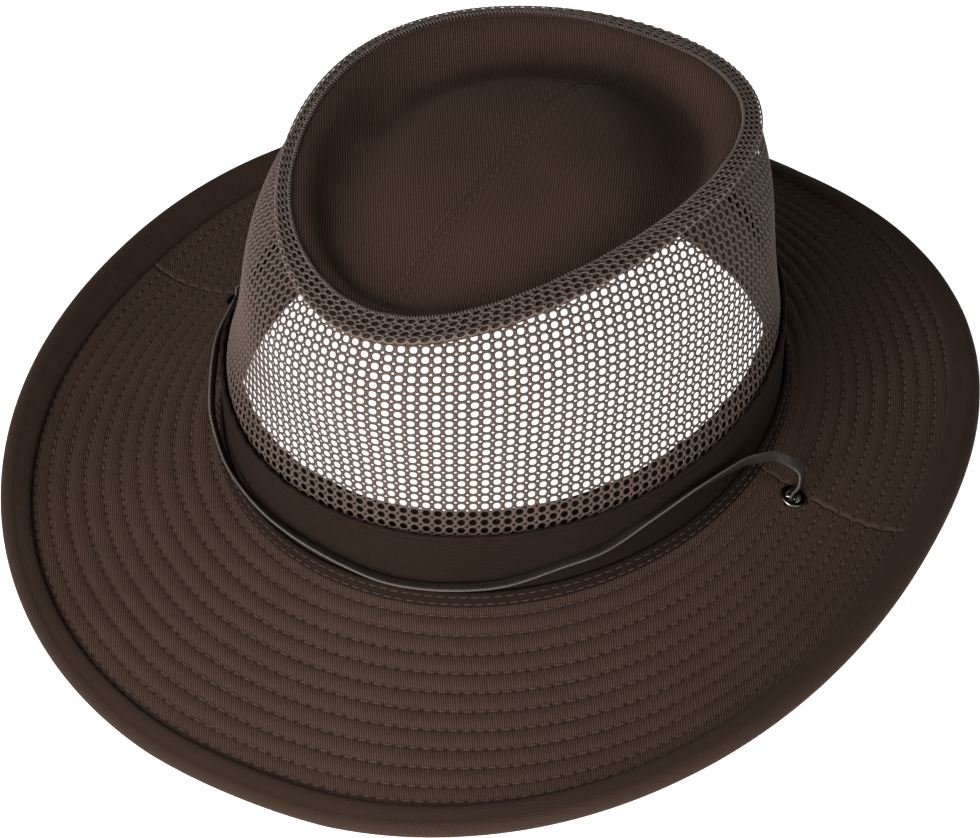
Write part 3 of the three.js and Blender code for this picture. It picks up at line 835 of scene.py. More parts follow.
def stitch_map(angle, reach):
    """The number of stitches run through on the nearest row, and the distance to that row."""
    around = np.append(full_turn(400), np.pi)
    nearest = np.abs(reach[0][:, None] - STITCH_ROWS).argmin(1)
    phase = np.empty_like(angle)
    for column, row in enumerate(nearest):
        run = arc_lengths(brim_point(around, STITCH_ROWS[row], HALF_THICKNESS))
        count = int(run[-1] / STITCH_PITCH) + 1
        turns = np.floor((angle[:, column] + np.pi) / (2 * np.pi))
        wrapped = angle[:, column] - turns * 2 * np.pi
        phase[:, column] = (np.interp(wrapped, around, run) / run[-1] + turns - turns.min()) * count
    distance = np.abs(reach - STITCH_ROWS[nearest]) * BRIM_WIDTH
    return np.stack([phase, distance], -1)

# %% [markdown]
# The upper and lower faces are sampled closely beside each row and coarsely between rows, which
# keeps the mesh small without losing the grooves. The steps are also finer beside the side seams.

# %% Make the two halves
def half_angles(start, end):
    """Even angles with a few more close to both seams."""
    close = np.array([0, 0.0014, 0.0035, 0.007, 0.0115, 0.017])
    even = np.linspace(start + 0.026, end - 0.026, 290)
    return np.concatenate([start + close, even, end - close[::-1]])


def make_brim_half(name, start, end, shift, back_half):
    angles = half_angles(start, end)
    near_row = np.array([-0.24, -0.09, 0, 0.09, 0.24, 0.5]) * ROW_STEP
    near_hem = [0.842, 0.848, 0.854, 0.8595, 0.8655, 0.8715, 0.877, 0.884, 0.9, 0.92, 0.947]
    reaches = [-3.9 / BRIM_WIDTH, 0, 0.02, *(STITCH_ROWS[:10, None] + near_row).ravel(), *near_hem]
    a, r = np.meshgrid(angles, reaches, indexing="ij")
    from_end = np.minimum(a - start, end - a) * MEAN_RADIUS
    fall = np.clip(1 - from_end / 0.9, 0, 1)
    full = np.sqrt(np.maximum(1 - fall ** 2, 0.03))
    seam_step = 0.18 * np.exp(-(from_end / 3.5) ** 2) * back_half
    wave = undulation(a, r)
    lift = (HALF_THICKNESS + quilting(a, r)) * full
    upper = brim_point(a, r, lift + wave + seam_step)
    lower = brim_point(a, r, wave - lift)
    for face in (upper, lower):
        face[..., 1] += shift
    uv = np.concatenate([brim_cloth(a, r, back_half), stitch_map(a, r)], -1)
    return swept_shell(name, upper, lower, uv, brim_twill, closed=False)


brim_front = make_brim_half("quilted_brim_front", np.pi - SEAM, 2 * np.pi + SEAM, -SEAM_GAP, False)
brim_back = make_brim_half("quilted_brim_back", SEAM, np.pi - SEAM, SEAM_GAP, True)

# %% [markdown]
# ## Holes for the eyelets
#
# The eyelets sit just in front of the side seams. A Boolean modifier cuts a short cylinder out of
# the shell for each. Its result is stored as a plain mesh, and the modifier and the cutter are
# removed.

# %% Pierce the brim
EYELET_REACH = 0.228
EYELET_ANGLES = {"left": math.radians(0.3), "right": math.radians(179.7)}


def eyelet_axes(angle):
    """An eyelet's centre and its three directions on the brim."""
    angle = np.array(float(angle))
    outward, upward = brim_directions(angle, np.array(EYELET_REACH))
    return brim_middle(angle, EYELET_REACH), outward, np.cross(upward, outward), upward


def make_cutter(angle, radius=3.5, half_height=6.0, sides=40):
    centre, x, y, z = eyelet_axes(angle)
    turn = circle(sides)
    rim = centre + radius * (np.cos(turn)[:, None] * x + np.sin(turn)[:, None] * y)
    points = np.concatenate([rim - z * half_height, rim + z * half_height])
    mesh = bpy.data.meshes.new("cutter")
    j = np.arange(sides)
    wall = np.stack([j, (j + 1) % sides, (j + 1) % sides + sides, j + sides], -1).tolist()
    mesh.from_pydata((points * MM).tolist(), [], [*wall, j[::-1].tolist(), (j + sides).tolist()])
    return add_object("cutter", mesh)


def settle(piece):
    """Store what the modifiers make as the piece's own mesh, and remove the modifiers."""
    evaluated = piece.evaluated_get(bpy.context.evaluated_depsgraph_get())
    mesh = bpy.data.meshes.new_from_object(evaluated)
    piece.modifiers.clear()
    piece.data = mesh
    return piece


def pierce(piece, cutters):
    for cutter in cutters:
        cut = piece.modifiers.new("hole", "BOOLEAN")
        cut.operation = "DIFFERENCE"
        cut.solver = "EXACT"
        cut.object = cutter
    settle(piece)


cutters = [make_cutter(angle) for angle in EYELET_ANGLES.values()]
for piece in (brim_front, brim_back):
    pierce(piece, cutters)
for cutter in cutters:
    bpy.data.objects.remove(cutter)
hand_over(brim_front, "cotton_twill", "brim_front")
hand_over(brim_back, "cotton_twill", "brim_back")

# %% [markdown]
# ## The hem
#
# A strip of twill cut on the slant is folded around the brim's edge and sewn down. It forms a soft
# roll about 9.5 mm wide. Its inner edge is tucked under, which leaves a dark crease beside the
# last row of stitches. Where the hat stands on the table, the roll is pressed flat.

# %% Roll the hem around the edge
def make_hem():
    angles = full_turn(700)
    inner, outer = 1.65, 2.95
    insets = np.array([9.55, 9.5, 9.3, 8.8, 7.8, 6.5, 5.2, 4.0])
    lifts = np.array([1.35, 1.85, 2.4, 2.85, 3.12, 3.2, 3.14, 3.0])
    width = np.linalg.norm(brim_middle(angles, 1) - brim_middle(angles, 0), axis=-1)
    outward, upward = brim_directions(angles, 0 * angles + 0.98)
    nose = brim_middle(angles, 1) - outward * outer
    roll = np.linspace(np.pi / 2, -np.pi / 2, 9)

    def wrap(radius, leg_lifts, leg_insets, floor):
        def leg(side):
            return [brim_point(angles, 1 - inset / width, side * lift)
                    for inset, lift in zip(leg_insets, leg_lifts)]
        nose_arc = [nose + outward * radius * math.cos(t) + upward * radius * math.sin(t) for t in roll]
        row = np.stack([*leg(1), *nose_arc, *reversed(leg(-1))], 1)
        row[..., 2] = np.maximum(row[..., 2], floor)
        return row

    pucker = 1 + 0.02 * np.sin(183 * angles) + 0.015 * np.sin(71 * angles + 1)
    outside = wrap(outer, [lift * pucker for lift in lifts], insets, 0)
    inside = wrap(inner, [inner * 0.6, *[inner] * 7], insets - 0.05, 0.8)
    run = np.append(angles, np.pi)
    middle_run = arc_lengths(brim_middle(run, 1))
    uv = turned(middle_run[:, None], arc_lengths(outside[0]), math.radians(-18))
    return swept_shell("rolled_hem", outside, inside, uv, hem_twill)


hand_over(make_hem(), "cotton_twill", "brim_binding")

# %% [markdown]
# ## Foot strip, band and sweatband
#
# Three cloth rings stand at the crown's foot. The narrow strip covers the seam between brim and
# crown. The band has a folded top edge, which stands out a little above the groove of its seam. The
# sweatband inside is dark, and its upper edge shows faintly through the lowest rows of the net.

# %% Sew the rings
def ring_cloth(angles, profile, slant_degrees):
    """Cloth millimetres of a ring: around it and up its profile, turned by the ribs' slant."""
    run = arc_lengths(foot_point(np.append(angles, np.pi), 0, 0))
    return turned(run[:, None], arc_lengths(profile), -math.radians(slant_degrees))


def make_ring(name, steps, profile_out, profile_in, slant, material):
    """A ring with an outside and an inside profile. Rows give outward distance and height."""
    angles = full_turn(steps)
    a = angles[:, None]
    waves = 0.12 * np.sin(9 * a + 0.7) + 0.08 * np.sin(23 * a)
    outside, inside = [foot_point(a, rows[:, 0] + waves * (rows[:, 1] > 7), rows[:, 1])
                       for rows in (profile_out, profile_in)]
    return swept_shell(name, outside, inside, ring_cloth(angles, profile_out, slant), material)


def groove_at(height, heights, depth, width):
    return depth * np.exp(-((heights - height) / width) ** 2)


def make_foot_strip():
    heights = np.array([1.45, 1.9, 2.3, 2.7, 3.2, 3.7, 4.1, 4.5, 4.9, 5.3, 5.6, 5.7])
    outwards = np.array([3.25, 3.15, 2.95, 2.75, 2.5, 2.3, 2.15, 2.05, 1.98, 1.9, 1.65, 1.2])
    outwards = outwards - groove_at(2.3, heights, 0.3, 0.4) - groove_at(4.5, heights, 0.25, 0.4)
    inside = np.stack([0 * heights + 0.3, np.linspace(1.5, 5.65, len(heights))], -1)
    inside[0, 0] = 1.0
    outside = np.stack([outwards, heights], -1)
    return make_ring("foot_strip_cloth", 420, outside, inside, 24, band_twill_painted_dark)


def make_band():
    heights = np.array([1.5, 4, 7, 10, 13, 16, 19, 21.5, 23.5, 24.7, 25.3, 25.8, 26.3, 26.9, 27.5,
                        27.9, 28.2, BAND_TOP])
    swell = 0.25 * np.sin(np.pi * np.clip((heights - 6) / 19, 0, 1))
    fold = 0.35 * np.clip((heights - 25.9) / 1.2, 0, 1)
    round_off = np.interp(heights, [27.5, 27.9, 28.2, BAND_TOP], [0, 0.12, 0.4, 0.75])
    outwards = swell + fold - round_off - groove_at(25.7, heights, 0.3, 0.45)
    inwards = np.interp(heights, [27.9, BAND_TOP], [-1.2, -0.85])
    outside = np.stack([outwards, heights], -1)
    inside = np.stack([inwards, np.minimum(heights, 28.25)], -1)
    return make_ring("crown_band_cloth", 420, outside, inside, -4, band_twill_painted_dark)


def make_sweatband():
    heights = np.linspace(1.6, 33.6, 14)
    lean = 3.5 * (heights / 35) ** 2
    round_off = np.interp(heights, [31, 33.6], [0, 0.25])
    outside = np.stack([-2.45 - lean - round_off, heights], -1)
    inside = np.stack([-3.1 - lean + round_off, heights], -1)
    return make_ring("sweatband_cloth", 240, outside, inside, 45, lining)


hand_over(make_foot_strip(), "cotton_twill", "foot_strip")
hand_over(make_band(), "cotton_twill", "crown_band")
hand_over(make_sweatband(), "dark_lining", "sweatband")

# %% [markdown]
# ## The dented tip
#
# The tip is the crown's top. A groove runs around inside its edge, shallow at the front and deep at
# the back, and the middle rises as a soft dome. Two halves are sewn together along the middle, with
# a row of stitches on each side of the seam.
#
# A half disc is hard to cover with a grid. Rows across the half, which are spaced closer towards
# the front and back, reach from the straight seam to the round edge without pinching anywhere.

# %% Shape the two halves
TIP_HALF_WIDTH = 67


def tip_grid(side):
    """Angle and reach of a grid over one half disc, and the distance from the seam."""
    q = np.linspace(-1, 1, 132)
    y = np.sin(np.pi * q / 2) * 0.9997
    seam_side = np.array([0, 0.0045, 0.011, 0.018, 0.024, 0.0285, 0.032, 0.0355, 0.042, 0.055])
    w = np.concatenate([seam_side, np.linspace(0.08, 1, 52)])
    yy, ww = np.meshgrid(y, w, indexing="ij")
    x = ww * np.sqrt(1 - yy ** 2)
    return np.arctan2(yy, side * x), np.hypot(x, yy), x


def make_tip_half(name, side, slant_degrees):
    angle, reach, x = tip_grid(side)
    distance = x * TIP_HALF_WIDTH
    groove = 0.22 * np.exp(-((distance - 2.1) / 0.45) ** 2)
    fall = 0.3 * np.exp(-(distance / 0.5) ** 2)
    bulge = 0.12 * np.exp(-((distance - 1.1) / 0.6) ** 2)
    folds = 0.5 * np.sin(5.2 * angle + 1.1) * np.sin(np.pi * reach) ** 2
    creases = 0.25 * np.sin(17 * angle + 4 * reach) * np.exp(-((reach - 0.8) / 0.12) ** 2)
    upper = tip_point(angle, reach, bulge - groove - fall + folds + creases)
    lower = tip_point(angle, reach, -1.2 + 0.6 * fall + folds + creases)
    for face in (upper, lower):
        share = SEAM_GAP / rim_half_width(angle)
        face[..., 0] = side * SEAM_GAP + face[..., 0] * (1 - share)
    uv = turned(upper[..., 0], upper[..., 1], math.radians(90 - slant_degrees))
    return swept_shell(name, upper, lower, uv, twill, closed=False)


hand_over(make_tip_half("crown_tip_cloth_left", 1, 22.7), "cotton_twill", "crown_tip_left")
hand_over(make_tip_half("crown_tip_cloth_right", -1, 30.5), "cotton_twill", "crown_tip_right")

# %% [markdown]
# ## Unrolling the net
#
# The net was knitted flat, cut to a curved strip and wrapped around the crown. Its rows therefore
# don't run level: they sink towards the band on the way to the back, because the wall leans in.
#
# To get this right, the wall is unrolled. Narrow strips of it are laid side by side in a plane, one
# after the other, each with its true edge lengths. The lattice is then drawn straight in the plane.

# %% Unroll strips into a plane
def place_beside(p, q, from_p, from_q):
    """The plane point at two given distances from p and q, on the right of the way from p to q."""
    span = q - p
    length = np.hypot(*span)
    forward = (from_p ** 2 - from_q ** 2 + length ** 2) / (2 * length)
    sideways = math.sqrt(max(from_p ** 2 - forward ** 2, 0))
    ahead = span / length
    return p + ahead * forward + np.array([ahead[1], -ahead[0]]) * sideways


def unroll(feet, tops):
    """Plane places of two rows of points that bound a strip, starting upright."""
    def far(a, b):
        return np.linalg.norm(b - a)
    flat_feet, flat_tops = [np.zeros(2)], [np.array([0, far(feet[0], tops[0])])]
    for foot, top, next_foot, next_top in zip(feet, tops, feet[1:], tops[1:]):
        p, q = flat_feet[-1], flat_tops[-1]
        flat_feet.append(place_beside(p, q, far(foot, next_foot), far(top, next_foot)))
        flat_tops.append(place_beside(flat_feet[-1], q, far(next_foot, next_top), far(top, next_top)))
    return np.array(flat_feet), np.array(flat_tops)

# %% [markdown]
# Two profiles say where the yarn lies. The wall's runs from behind the band up to the rim. The
# trim's folds over the rim and reaches in over the tip.

# %% Draw the profiles of wall and trim
NET_DEPTH, NET_FOOT = -0.55, 23.0


def net_profile(angle):
    """The net's middle surface from behind the band up to the rim's crest, as rows of points.

    The second result is a level for each row. Cells whose middle is below level 1 are used.
    """
    top = wall_top(angle)
    levels = np.linspace(0, 1, 24)
    rows = [wall_point(angle, NET_FOOT + (top - NET_FOOT) * level, NET_DEPTH) for level in levels]
    over_rim = ((1.65, -2.2), (1.5, -1.4), (1.8, -0.9), (2.6, -0.9), (6.0, -0.9))
    rows += [rim_point(angle, inset, height) for inset, height in over_rim]
    return np.stack(rows, 1), np.concatenate([levels - 0.03, [0.98, 1.0, 1.01, 1.02, 1.06]])


def trim_depth(angle):
    """How far the trim reaches in from the rim: most at the front left, least on the right."""
    places = np.array([-180, -140, -110, -90, -30, 0, 40, 70, 90, 115, 140, 180])
    depths = [4.3, 5.0, 10.0, 12.0, 12.0, 8.5, 6.5, 7.5, 8.5, 5.0, 4.2, 4.3]
    shifts = (0, -0.08, 0.08, -0.16, 0.16)
    near = [np.interp(angle + shift, np.radians(places), depths, period=2 * np.pi) for shift in shifts]
    return sum(near) / len(near)


def trim_profile(angle):
    """The trim's upper surface from just below the rim's crest to its inner edge."""
    radius = np.linalg.norm(rim_point(angle, 0, 0)[..., :2] - (0, CROWN_MIDDLE), axis=-1)
    over_rim = ((0.55, -1.5), (0.5, -1.0), (0.75, -0.5), (1.4, -0.2))
    rows = [rim_point(angle, inset, height) for inset, height in over_rim]
    for share in (0.15, 0.3, 0.45, 0.6, 0.8, 1.0):
        inset = 1.9 + (trim_depth(angle) - 1.9) * share
        rows.append(tip_point(angle, 1 - (inset - 1.5) / radius, 0.95))
    return np.stack(rows, 1)

# %% [markdown]
# A guide mesh remembers both places of each point: its vertex is on the hat, its UV in the plane.
#
# The real net is pulled askew at the wearer's right. Its columns lean there by up to NET_LEAN
# degrees, and its rows droop by NET_DROOP millimetres for each millimetre of way.

# %% Build the two guides
NET_COLUMN, NET_ROW, TRIM_ROWS = 3.55, 2.95, 4
COLUMN_TILT = math.radians(-3.5)
NET_LEAN, NET_DROOP = 8, 0.14
GUIDE_TURNS = np.radians(np.linspace(-186, 186, 621))


def guide_mesh(name, points, plane, levels, turns):
    """A guide from a grid of points with their plane places, levels and turns."""
    rows, columns = points.shape[:2]
    faces, corners = grid_faces(rows, columns, closed_rows=False, closed_columns=False)
    mesh = bpy.data.meshes.new(name)
    mesh.from_pydata((points.reshape(-1, 3) * MM).tolist(), [], faces.tolist())
    plane_uv = np.stack([plane[a, b] for a, b in corners], 1) * MM
    mesh.uv_layers.new(name="plane").data.foreach_set("uv", plane_uv.astype(np.float32).ravel())
    outward = unit(np.cross(np.gradient(points, axis=0), np.gradient(points, axis=1)))
    store(mesh, "outward", outward)
    store(mesh, "level", np.broadcast_to(levels, (rows, columns)), "FLOAT", "value")
    store(mesh, "turn", np.broadcast_to(turns[:, None], (rows, columns)), "FLOAT", "value")
    return add_object(name, mesh)


def make_net_guide():
    """A mesh over the wall with its unrolled place as UV, a little over a full turn."""
    angles = FRONT + GUIDE_TURNS
    points, levels = net_profile(angles)
    base = wall_point(angles, BAND_TOP, NET_DEPTH)
    top = wall_point(angles, wall_top(angles), NET_DEPTH)
    middle = len(angles) // 2
    flat_feet, flat_tops = [np.concatenate([half[:0:-1] * (-1, 1), half])
                            for half in unroll(base[middle:], top[middle:])]
    upright = unit(flat_tops - flat_feet)
    lean = np.radians(NET_LEAN) * np.clip(-GUIDE_TURNS, 0, 1)
    upright = turned(upright[:, 0], upright[:, 1], lean)
    below = np.linalg.norm(base - points[:, 0], axis=-1)
    height = arc_lengths(points) - below[:, None]
    plane = flat_feet[:, None] + upright[:, None] * height[..., None]
    plane[..., 1] += NET_DROOP * np.clip(-plane[..., 0] - 20, 0, None)
    plane = turned(plane[..., 0], plane[..., 1], COLUMN_TILT)
    return guide_mesh("net guide", points, plane, levels, GUIDE_TURNS), plane


def make_trim_guide():
    """A mesh over the rim. Its plane runs along the rim and across the trim, in whole cells."""
    points = trim_profile(FRONT + GUIDE_TURNS)
    around = np.append(full_turn(720), np.pi)
    run = arc_lengths(rim_point(FRONT + around, 1.0, 0))
    columns = round(run[-1] / NET_COLUMN)
    laps = np.floor((GUIDE_TURNS + np.pi) / (2 * np.pi))
    share = np.interp(GUIDE_TURNS - laps * 2 * np.pi, around, run) / run[-1] + laps
    across = arc_lengths(points)
    across = across / across[:, -1:] * (TRIM_ROWS + 0.2) - 0.1
    along = (share[:, None] - 0.5) * columns * NET_COLUMN + 0 * across
    plane = np.stack([along, across * NET_ROW], -1)
    return guide_mesh("trim guide", points, plane, 0.5, GUIDE_TURNS), columns


net_guide, net_plane = make_net_guide()
trim_guide, trim_columns = make_trim_guide()
net_size = np.ptp(net_plane.reshape(-1, 2), axis=0).round()
print("The unrolled net is", net_size[0], "by", net_size[1], "mm")

# %% [markdown]
# ## One cell of the net
#
# The net repeats one cell: a large rounded hole with a quarter of a small hole at each corner. Only
# a quarter of the cell is drawn. Mirroring it to the right, up and to the back gives the whole cell,
# and its border points then fit the next cell exactly.

# %% Draw a quarter and mirror it
def make_cell():
    half_x, half_y, thick = NET_COLUMN / 2, NET_ROW / 2, 0.27
    quarter = {
        "b0": (1.125, 0, 0), "b1": (0.99, 0.57, 0), "b2": (0.62, 0.885, 0), "b3": (0, 1.01, 0),
        "s0": (half_x, half_y - 0.35, 0), "s1": (half_x - 0.31, half_y - 0.24, 0),
        "s2": (half_x - 0.44, half_y, 0), "r0": (half_x, 0, thick), "r1": (1.2, 1.05, thick),
        "r2": (0, half_y, thick * 0.8),
    }
    triangles = ["b0 r0 b1", "r0 r1 b1", "r0 s0 r1", "s0 s1 r1", "s1 s2 r1", "s2 r2 r1",
                 "r1 r2 b2", "r2 b3 b2", "b1 r1 b2"]
    points, faces = [], []
    for x_side, y_side, z_side in product((1, -1), repeat=3):
        for triangle in triangles:
            start = len(points)
            for x, y, z in [quarter[name] for name in triangle.split()]:
                points.append((x * x_side, y * y_side, z * z_side))
            order = (0, 1, 2) if x_side * y_side * z_side > 0 else (2, 1, 0)
            faces.append([start + k for k in order])
    mesh = bpy.data.meshes.new("net cell")
    mesh.from_pydata((np.array(points) * MM).tolist(), [], faces)
    with edited(mesh) as work:
        bmesh.ops.remove_doubles(work, verts=work.verts[:], dist=1e-7)
    print("One cell has", len(mesh.polygons), "triangles")
    return add_object("net cell", mesh)


net_cell = make_cell()

# %% [markdown]
# ## Rolling the net back on
#
# A Geometry Nodes tree copies the cell onto a flat grid of points. It keeps the cells whose middle
# lies on the unrolled wall, joins them, and looks up each point of the yarn on the guide mesh. The
# yarn's height above the plane is laid along the guide's outward direction.
#
# Some helpers come first. They start a tree with its inputs, end it, run it on a piece, and look a
# value up on a mesh.

# %% Start, end and run a tree
def new_tree(name, inputs):
    """An empty Geometry Nodes tree. Inputs lists labels by kind. Each gets a wire by its label."""
    tree = bpy.data.node_groups.new(name, "GeometryNodeTree")
    for kind, labels in inputs.items():
        for label in labels:
            tree.interface.new_socket(label, in_out="INPUT", socket_type="NodeSocket" + kind)
    tree.interface.new_socket("Geometry", in_out="OUTPUT", socket_type="NodeSocketGeometry")
    start = tree.nodes.new("NodeGroupInput")
    return tree, {socket.name: Wire(tree, socket) for socket in start.outputs if socket.name}


def end_tree(tree, geometry):
    end = tree.nodes.new("NodeGroupOutput")
    tree.links.new(geometry.socket, end.inputs["Geometry"])


def run_tree(name, tree, values, mesh=None):
    """Run a tree on a mesh with the given input values, and return its result as a plain piece."""
    piece = add_object(name, mesh or bpy.data.meshes.new(name))
    modifier = piece.modifiers.new("nodes", "NODES")
    modifier.node_group = tree
    for item in tree.interface.items_tree:
        if item.in_out == "INPUT" and item.name in values:
            modifier[item.identifier] = values[item.name]
    settle(piece)
    piece.data.name = name
    return piece


def named(tree, name, kind="FLOAT_VECTOR"):
    return add_node(tree, "GeometryNodeInputNamedAttribute", {"data_type": kind}, {"Name": name})


def look_up(tree, guide, value, sample, kind="FLOAT_VECTOR"):
    """The value that the guide mesh has where its plane map is at the sample point."""
    return add_node(tree, "GeometryNodeSampleUVSurface", {"data_type": kind}, {
        "Mesh": guide, "Value": value, "Source UV Map": named(tree, "plane"), "Sample UV": sample})

# %% [markdown]
# The tree follows the steps above in their order.

# %% Build the net tree
def build_net_tree():
    tree, given = new_tree("Net on the crown", {
        "Geometry": ["Geometry"], "Object": ["Cell", "Guide"], "Int": ["Columns", "Rows"],
        "Float": ["Width", "Height", "Lowest level", "Highest level", "First turn", "Last turn"],
        "Vector": ["Middle"], "Material": ["Material"]})
    guide = add_node(tree, "GeometryNodeObjectInfo", {}, {"Object": given["Guide"]}, "Geometry")
    cell = add_node(tree, "GeometryNodeObjectInfo", {}, {"Object": given["Cell"]}, "Geometry")
    grid = add_node(tree, "GeometryNodeMeshGrid", {}, {
        "Size X": given["Width"], "Size Y": given["Height"],
        "Vertices X": given["Columns"], "Vertices Y": given["Rows"]}, "Mesh")
    moved = add_node(tree, "GeometryNodeTransform", {}, {"Geometry": grid, "Translation": given["Middle"]})
    position = add_node(tree, "GeometryNodeInputPosition")
    level = look_up(tree, guide, named(tree, "level", "FLOAT"), position, "FLOAT")
    turn = look_up(tree, guide, named(tree, "turn", "FLOAT"), position, "FLOAT")
    wanted = level.of("Is Valid") * level.math("GREATER_THAN", given["Lowest level"])
    wanted = wanted * level.math("LESS_THAN", given["Highest level"])
    wanted = wanted * turn.math("GREATER_THAN", given["First turn"])
    wanted = wanted * turn.math("LESS_THAN", given["Last turn"])
    kept = add_node(tree, "GeometryNodeInstanceOnPoints", {}, {
        "Points": moved, "Selection": wanted, "Instance": cell})
    real = add_node(tree, "GeometryNodeRealizeInstances", {}, {"Geometry": kept})
    joined = add_node(tree, "GeometryNodeMergeByDistance", {}, {"Geometry": real, "Distance": 2e-6})
    x, y, height = position.axes()
    flat = add_node(tree, "ShaderNodeCombineXYZ", {}, {0: x, 1: y})
    on_hat = look_up(tree, guide, position, flat)
    outward = look_up(tree, guide, named(tree, "outward"), flat)
    offset = add_node(tree, "ShaderNodeVectorMath", {"operation": "SCALE"}, {0: outward, "Scale": height})
    place = add_node(tree, "ShaderNodeVectorMath", {"operation": "ADD"}, {0: on_hat, 1: offset})
    laid = add_node(tree, "GeometryNodeSetPosition", {}, {"Geometry": joined, "Position": place})
    coloured = add_node(tree, "GeometryNodeSetMaterial", {},
                        {"Geometry": laid, "Material": given["Material"]})
    end_tree(tree, coloured)
    return tree


net_tree = build_net_tree()

# %% [markdown]
# The wall is made in two pieces, left and right. The trim over the rim is cut from the same net. It
# has a guide of its own, whose plane runs along the rim.

# %% Lay the nets
def lay_net(name, guide, middle, columns, rows, turns, lowest, yarn):
    """Lay a grid of cells around a middle point of the plane onto a guide, and close its edges.

    A corner that falls just between two faces of the guide finds no place on it and stays at the
    origin. It is taken out, and the hole that it leaves is closed with the others.
    """
    net = run_tree(name, net_tree, {
        "Cell": net_cell, "Guide": guide, "Columns": columns, "Rows": rows,
        "Width": (columns - 1) * NET_COLUMN * MM, "Height": (rows - 1) * NET_ROW * MM,
        "Middle": (middle[0] * MM, middle[1] * MM, 0.0),
        "Lowest level": lowest, "Highest level": 1.0,
        "First turn": turns[0], "Last turn": turns[1], "Material": yarn})
    with edited(net.data) as work:
        lost = [corner for corner in work.verts if corner.co.length < 20 * MM]
        count = len(lost)
        bmesh.ops.delete(work, geom=lost, context="VERTS")
        bmesh.ops.holes_fill(work, edges=work.edges[:], sides=8)
        bmesh.ops.recalc_face_normals(work, faces=work.faces[:])
        for face in work.faces:
            face.smooth = True
        open_edges = sum(edge.is_boundary for edge in work.edges)
    print(name, "has", count, "lost corners and", open_edges, "open edges")
    return net


def lay_wall_net(name, turns):
    pitch = np.array([NET_COLUMN, NET_ROW])
    plane = net_plane.reshape(-1, 2)
    columns, rows = (np.ptp(plane, axis=0) / pitch).astype(int) + 3
    middle = np.round((plane.max(0) + plane.min(0)) / 2 / pitch) * pitch
    return lay_net(name, net_guide, middle, int(columns | 1), int(rows | 1), turns, 0.0, net_yarn)


def lay_trim_net(name):
    """A full turn of cells on the rim. The last cell of the turn closes up to the first."""
    middle = ((trim_columns + 1) % 2 * NET_COLUMN / 2, TRIM_ROWS * NET_ROW / 2)
    turns = (-math.pi - 0.0001, math.pi - 0.0001)
    return lay_net(name, trim_guide, middle, trim_columns + 2, TRIM_ROWS, turns, -1.0, trim_yarn_painted_lighter)


hand_over(lay_wall_net("crown_net_left", (0.003, math.pi)), "brown_net", "crown_mesh")
hand_over(lay_wall_net("crown_net_right", (-math.pi, 0.003)), "brown_net", "crown_mesh")
hand_over(lay_trim_net("rim_trim_net"), "brown_net", "crown_trim")
for helper in (net_guide, trim_guide, net_cell):
    bpy.data.objects.remove(helper)

# %% [markdown]
# ## The cloth behind the trim
#
# The tip's cloth is turned down inside the rim, so brown twill shows through the trim's holes. It
# is a narrow folded strip that follows the rim just inside the net.

# %% Fold the tip's edge over the rim
def make_rim_cloth():
    angles = full_turn(420)
    outside = np.stack([
        rim_point(angles, 1.05, -1.2), rim_point(angles, 1.05, -1.0), rim_point(angles, 1.25, -0.75),
        rim_point(angles, 1.8, -0.68), tip_point(angles, 0.97, 0.3), tip_point(angles, 0.95, 0.28)], 1)
    inside = np.stack([
        rim_point(angles, 1.45, -1.4), rim_point(angles, 1.55, -1.35), rim_point(angles, 1.75, -1.25),
        rim_point(angles, 2.2, -1.2), tip_point(angles, 0.965, -0.05), tip_point(angles, 0.95, -0.05)], 1)
    run = arc_lengths(rim_point(np.append(angles, np.pi), 0, 0))
    uv = turned(run[:, None], arc_lengths(outside[0]), math.radians(-55))
    return swept_shell("tip_edge_fold", outside, inside, uv, twill)


rim_cloth = make_rim_cloth()
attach(rim_cloth, "root")

# %% [markdown]
# ## The trim's inner edge
#
# The trim's inner edge is held down by a yarn that winds around it in small loops. It is one long
# coil, a round yarn that is swept along a helix around the edge.

# %% Wind the edge yarn
def tube_along(name, path, radius, material, sides=6):
    """A closed tube of even thickness along a closed path of points."""
    ahead = unit(np.roll(path, -1, 0) - np.roll(path, 1, 0))
    side = unit(np.cross(ahead, (0, 0, 1)))
    above = np.cross(side, ahead)
    c, s = np.cos(circle(sides))[:, None], np.sin(circle(sides))[:, None]
    rings = path[:, None] + radius * (side[:, None] * c + above[:, None] * s)
    faces, corners = grid_faces(len(path), sides)
    uv = corner_map(corners, lambda row, column: (row / 10, column / sides))
    return make_object(name, rings.reshape(-1, 3), faces, uv, material)


def wind_edge_yarn(loops=400, radius=0.5):
    angles = full_turn(loops * 9)
    profile = trim_profile(angles)
    edge = profile[:, -1]
    inward = unit(edge - profile[:, -2])
    upward = unit(np.cross(inward, np.roll(edge, -1, 0) - np.roll(edge, 1, 0)))
    upward *= np.sign(upward[:, 2:])
    turn = loops * angles + 0.5 * np.sin(13 * angles)
    wide = radius * (1 + 0.15 * np.sin(29 * angles))[:, None]
    path = edge - 0.15 * upward + wide * (inward * np.cos(turn)[:, None] + upward * np.sin(turn)[:, None])
    return tube_along("trim_edge_yarn", path, 0.26, trim_yarn_painted_lighter)


hand_over(wind_edge_yarn(), "brown_net", "crown_trim")

# %% [markdown]
# ## Eyelets
#
# A metal eyelet is a short tube with its ends rolled outwards. Its section is drawn once and turned
# around the eyelet's axis, square to the brim.

